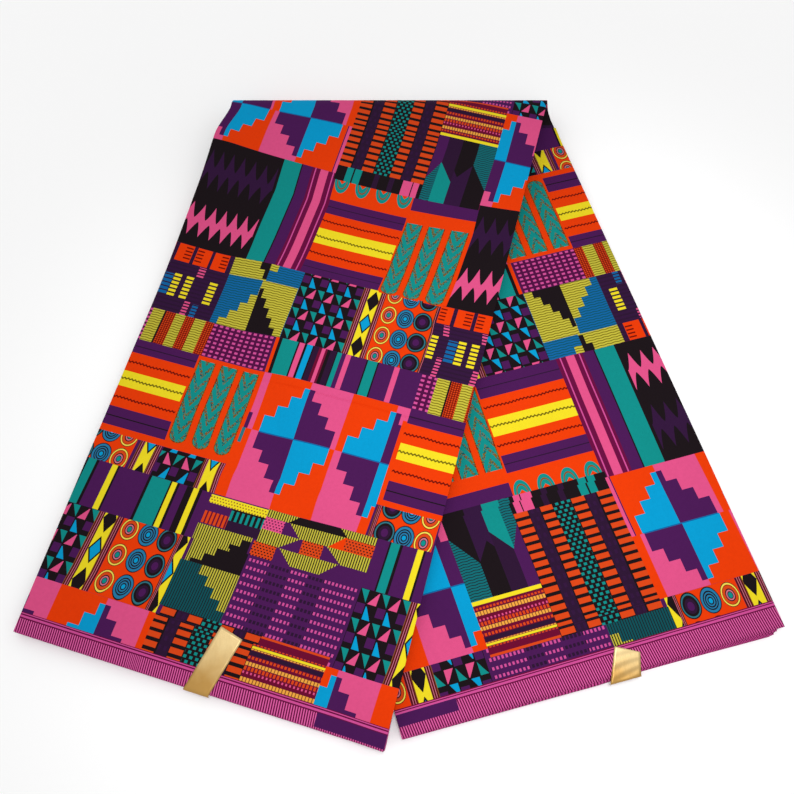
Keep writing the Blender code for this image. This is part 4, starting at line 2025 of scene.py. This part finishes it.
@dataclass(frozen=True)
class Band:
    """A plain band of foil, stuck on a tail's face and folded down over its selvedge.

    Foot and top are the shares of the tail's width that its left and right side lie at, and up is how
    far they reach up the tail.
    """

    name: str
    node: str
    tail: Tail
    on_top: bool
    foot: tuple[float, float]
    top: tuple[float, float]
    up: tuple[float, float]
    lift: float = 0.0004
    bow: float = 0.00025
    wall: float = 0.0003
    reach: float = 0.0010
    turn: float = 0.0012
    drop: float = 0.0046
    steps: int = 24
    columns: int = 12

    def build(self) -> bpy.types.Object:
        """The finished band.

        Returns:
            The piece.
        """
        left, right, tail_up = np.array(self.tail.left), np.array(self.tail.right), self.tail.up()
        w = np.linspace(0.0, 1.0, self.columns + 1)
        foot, top, height = (low + (high - low) * w for low, high in (self.foot, self.top, self.up))
        rows = []
        for k in range(self.steps + 1):
            t = k / self.steps
            share = top + (foot - top) * t
            up = height * (1 - t) - self.reach * t
            point, normal = PACK.face(
                self.on_top, left + (right - left) * share[:, None] + tail_up * up[:, None]
            )
            lift = self.lift + self.bow * np.sin(9.0 * t + 3.0 * w) ** 2 + self.wall
            rows.append(point + normal * lift[:, None])
        edge = rows[-1]
        for angle in (0.5, 1.0, math.pi / 2):
            out, down = self.turn * math.sin(angle), self.turn * (1 - math.cos(angle))
            rows.append(edge - np.append(tail_up * out, down))
        end = rows[-1]
        rows.extend(end - np.array((0.0, 0.0, (self.drop - self.turn) * part)) for part in (0.5, 1.0))
        rows = np.array(rows)
        quads = grid_quads(*rows.shape[:2])[:, (0, 3, 2, 1)]
        mesh = make_mesh(self.name, rows.reshape(-1, 3), quads, {})
        mesh.materials.append(Foil(self.name + "_foil", rows[..., 1].min(), rows[..., 1].max()).material())
        piece = finish_mesh(self.name, mesh)
        thicken(piece, self.wall, -1.0)
        return piece


@dataclass(frozen=True)
class EdgePicks:
    """The short loops of weft that stand out along a woven selvedge."""

    name: str
    path: list[list[float]]
    pitch: float = 0.0021
    loop: float = 0.00042
    thread: float = 0.00011
    seed: int = 5

    def tree(self, material: bpy.types.Material) -> bpy.types.NodeTree:
        """A tree that sets loops of thread along a curve.

        Args:
            material: The thread's material.

        Returns:
            The tree, with inputs for its sizes.
        """
        tree = bpy.data.node_groups.new(self.name + "_tree", "GeometryNodeTree")
        face = tree.interface
        face.new_socket("Geometry", in_out="INPUT", socket_type="NodeSocketGeometry")
        for label in ("Pitch", "Loop", "Thread"):
            face.new_socket(label, in_out="INPUT", socket_type="NodeSocketFloat")
        face.new_socket("Seed", in_out="INPUT", socket_type="NodeSocketInt")
        face.new_socket("Geometry", in_out="OUTPUT", socket_type="NodeSocketGeometry")
        kinds = {
            "given": "NodeGroupInput",
            "result": "NodeGroupOutput",
            "spaced": "GeometryNodeResampleCurve",
            "arc": "GeometryNodeCurveArc",
            "ring": "GeometryNodeCurvePrimitiveCircle",
            "solid": "GeometryNodeCurveToMesh",
            "place": "GeometryNodeInstanceOnPoints",
            "tangent": "GeometryNodeInputTangent",
            "align": "FunctionNodeAlignRotationToVector",
            "size": "FunctionNodeRandomValue",
            "real": "GeometryNodeRealizeInstances",
            "dress": "GeometryNodeSetMaterial",
        }
        nodes = {label: tree.nodes.new(kind) for label, kind in kinds.items()}
        nodes["spaced"].mode = "LENGTH"
        nodes["align"].axis = "X"
        nodes["size"].data_type = "FLOAT"
        for label, socket, value in (
            ("arc", "Resolution", 6),
            ("arc", "Start Angle", 0.0),
            ("arc", "Sweep Angle", math.pi),
            ("ring", "Resolution", 5),
            ("solid", "Fill Caps", True),
            ("size", "Min", 0.7),
            ("size", "Max", 1.25),
            ("dress", "Material", material),
        ):
            nodes[label].inputs[socket].default_value = value
        for start, out, end, into in (
            ("given", "Geometry", "spaced", "Curve"),
            ("given", "Pitch", "spaced", "Length"),
            ("given", "Loop", "arc", "Radius"),
            ("given", "Thread", "ring", "Radius"),
            ("given", "Seed", "size", "Seed"),
            ("arc", "Curve", "solid", "Curve"),
            ("ring", "Curve", "solid", "Profile Curve"),
            ("spaced", "Curve", "place", "Points"),
            ("solid", "Mesh", "place", "Instance"),
            ("tangent", "Tangent", "align", "Vector"),
            ("align", "Rotation", "place", "Rotation"),
            ("size", 1, "place", "Scale"),
            ("place", "Instances", "real", "Geometry"),
            ("real", "Geometry", "dress", "Geometry"),
            ("dress", "Geometry", "result", "Geometry"),
        ):
            tree.links.new(nodes[start].outputs[out], nodes[end].inputs[into])
        return tree

    def build(self) -> bpy.types.Object:
        """The finished row of loops.

        Returns:
            The piece.
        """
        curve = bpy.data.curves.new(self.name + "_path", "CURVE")
        curve.dimensions = "3D"
        spline = curve.splines.new("POLY")
        spline.points.add(len(self.path) - 1)
        for point, place in zip(spline.points, self.path):
            point.co = (*place, 1.0)
        guide = bpy.data.objects.new(self.name + "_path", curve)
        bpy.context.scene.collection.objects.link(guide)
        material = MATERIALS.get(TICK)
        grown = guide.modifiers.new("picks", "NODES")
        grown.node_group = self.tree(material)
        values = {"Pitch": self.pitch, "Loop": self.loop, "Thread": self.thread, "Seed": self.seed}
        for item in grown.node_group.interface.items_tree:
            if item.in_out == "INPUT" and item.name in values:
                grown[item.identifier] = values[item.name]
        mesh = evaluated_mesh(guide)
        bpy.data.objects.remove(guide)
        if not mesh.materials:
            mesh.materials.append(material)
        return finish_mesh(self.name, mesh)


def selvedge_path(
    line: tuple, out: np.ndarray, on_top: bool, depth: float, clear: float = 0.00002
) -> list[list[float]]:
    """Points along a face's selvedge edge, left to right, just outside it.

    Args:
        line: The edge's two ends on the plan.
        out: Direction out of the cloth on the plan.
        on_top: Whether the face is the upper one.
        depth: How far under the face the points lie.
        clear: How far outside the edge they lie.

    Returns:
        The points.
    """
    left, right = np.array(line)
    share = np.linspace(0.004, 0.996, 60)
    point, normal = PACK.face(on_top, left + (right - left) * share[:, None])
    point = point - normal * depth
    point[:, :2] += out * clear
    return point.tolist()


def selvedge_patches(edge: float, way: float, levels: tuple, plain: tuple) -> list[Patch]:
    """The selvedge's patches.

    Args:
        edge: Chart height of the cloth's edge.
        way: 1 where the print lies above it, -1 where it lies below.
        levels: Distances from the edge at which the lines along it meet.
        plain: Left, right and distances from the edge of its plain purple stretch.

    Returns:
        The patches.
    """
    finishes = (TICKS, MAGENTA, TICK, MAGENTA, TICK, WINE)
    spans = [(finish, -60.0, 400.0, *pair) for finish, *pair in zip(finishes, levels, levels[1:])]
    return [
        Patch(finish, left, right, *sorted((edge + way * near, edge + way * far)))
        for finish, left, right, near, far in (*spans, (PURPLE, *plain))
    ]


UPPER_SELVEDGE = selvedge_patches(
    -46.0, 1.0, (-6.0, 10.6, 11.6, 13.1, 14.1, 14.8, 15.3), (263.0, 330.0, 1.5, 11.0)
)
LOWER_SELVEDGE = selvedge_patches(
    587.0, -1.0, (-6.0, 16.2, 17.2, 18.9, 19.7, 20.4, 21.2), (293.0, 350.0, 8.5, 17.5)
)

UPPER_CREASES = (
    Crease(104.0, 255.85, 305.0, 257.45, 0.75, 0.8),
    Crease(20.0, 420.0, 150.0, 300.0, 0.70, 14.0),
    Crease(170.0, 470.0, 300.0, 380.0, 0.80, 18.0),
    Crease(60.0, 120.0, 200.0, 60.0, 0.60, 15.0),
    Crease(150.0, 40.0, 175.0, 230.0, -0.40, 8.0),
)
CREASE_ROWS = (207.2, 207.9, 208.5, 209.1, 209.8)
LOWER_CREASES = (
    Crease(120.0, 60.0, 300.0, 150.0, 0.60, 15.0),
    Crease(220.0, 200.0, 300.0, 330.0, 0.65, 13.0),
)


@dataclass(frozen=True)
class Studio:
    """A pale floor, soft light and the camera, which looks down on the cloth from its near side."""

    camera_place: tuple[float, float, float] = (-0.0018, -0.2524, 0.6277)
    camera_tilt: float = 20.81
    lens: float = 34.0
    sensor: float = 36.0
    floor_size: float = 8.0
    floor_height: float = -0.0001
    key_place: tuple[float, float, float] = (0.08, -0.08, 1.3)
    key_power: float = 32.0
    key_spread: float = 36.0
    key_size: float = 0.16
    sky: float = 0.94

    def link(self, name: str, data: bpy.types.ID) -> bpy.types.Object:
        """Puts something in the scene.

        Args:
            name: The name it takes.
            data: Its camera, mesh or light.

        Returns:
            The object.
        """
        made = bpy.data.objects.new(name, data)
        bpy.context.scene.collection.objects.link(made)
        return made

    def set_camera(self) -> None:
        """Makes the camera."""
        camera = self.link("camera", bpy.data.cameras.new("camera"))
        camera.location = self.camera_place
        camera.rotation_euler = (math.radians(self.camera_tilt), 0.0, 0.0)
        camera.data.lens = self.lens
        camera.data.sensor_width = self.sensor
        camera.data.clip_start = 0.01
        bpy.context.scene.camera = camera

    def lay_floor(self) -> None:
        """Makes the floor, of pale paper."""
        half = self.floor_size / 2
        mesh = bpy.data.meshes.new("floor")
        around = ((-half, -half), (half, -half), (half, half), (-half, half))
        mesh.from_pydata([(x, y, self.floor_height) for x, y in around], [], [(0, 1, 2, 3)])
        floor = self.link("floor", mesh)
        tree = Tree("floor_paper")
        tone = tree.noise(3.0) * 0.01 + 0.98
        join = tree.node("ShaderNodeCombineColor")
        for socket in join.inputs[:3]:
            tree.feed(socket, tone)
        grey = Value(tree, join.outputs[0])
        mesh.materials.append(tree.shader(grey, tree.noise(300.0), 0.02, 0.0001, {"Roughness": 0.9}))

    def light(self) -> None:
        """Makes the key light and the even light all round."""
        data = bpy.data.lights.new("key", "SPOT")
        data.energy = self.key_power
        data.spot_size = math.radians(self.key_spread)
        data.spot_blend = 1.0
        data.shadow_soft_size = self.key_size
        self.link("key", data).location = self.key_place
        scene = bpy.context.scene
        scene.world = scene.world or bpy.data.worlds.new("world")
        scene.world.use_nodes = True
        background = scene.world.node_tree.nodes["Background"]
        background.inputs["Color"].default_value = (1.0, 1.0, 1.0, 1.0)
        background.inputs["Strength"].default_value = self.sky
        scene.view_settings.view_transform = "Standard"

    def build(self) -> None:
        """Makes the camera, the floor and the lights."""
        self.set_camera()
        self.lay_floor()
        self.light()


def hand_over(piece: bpy.types.Object, node: str | None) -> None:
    """Makes a piece ride on the body and stand for its node.

    Args:
        piece: The piece.
        node: The solid that it stands for, if any.
    """
    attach(piece, "root")
    if node:
        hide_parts(node)
    LOG.info("%s: %d faces", piece.name, len(piece.data.polygons))


def main() -> None:
    """Builds the cloth piece by piece, then the studio."""
    logging.basicConfig(level=logging.INFO, format="%(name)s: %(message)s")
    upper = PrintedFace(
        "upper_face",
        tail=PACK.upper,
        on_top=True,
        line=(PACK.upper.left, PACK.upper.right),
        top=PACK.fold_y + PACK.radius * math.pi * 0.86,
        lay=UPPER_LAY,
        window=(-34.0, 342.0, -50.0, 632.0),
        selvedge=UPPER_SELVEDGE,
        creases=UPPER_CREASES,
        seed=0.4,
        ruled=CREASE_ROWS,
        fine_from=455.0,
        fill=8.0,
    ).build()
    hand_over(upper, "outer_ply")
    lower = PrintedFace(
        "lower_face",
        tail=PACK.lower,
        on_top=False,
        line=LOWER_SELVEDGE_LINE,
        top=PACK.fold_y - 0.008,
        lay=LOWER_LAY,
        window=(2.0, 350.0, -34.0, 590.0),
        selvedge=LOWER_SELVEDGE,
        creases=LOWER_CREASES,
        seed=2.1,
    ).build()
    hand_over(lower, "inner_ply")
    plies = FoldedPlies().build()
    hand_over(plies, "folded_layers")
    left_sides = {"foot": (0.475, 0.542), "top": (0.516, 0.581), "up": (0.0500, 0.0450)}
    right_sides = {"foot": (0.527, 0.607), "top": (0.570, 0.626), "up": (0.0240, 0.0150)}
    for foil in (
        Band("left_band", "left_label", PACK.upper, True, **left_sides),
        Band("right_band", "right_label", PACK.lower, False, **right_sides),
    ):
        hand_over(foil.build(), foil.node)
    for name, tail, line, on_top in (
        ("left_picks", PACK.upper, (PACK.upper.left, PACK.upper.right), True),
        ("right_picks", PACK.lower, LOWER_SELVEDGE_LINE, False),
    ):
        picks = EdgePicks(name, selvedge_path(line, -tail.up(), on_top, depth=0.00012)).build()
        hand_over(picks, None)
    Studio().build()


if __name__ == "__main__":
    main()
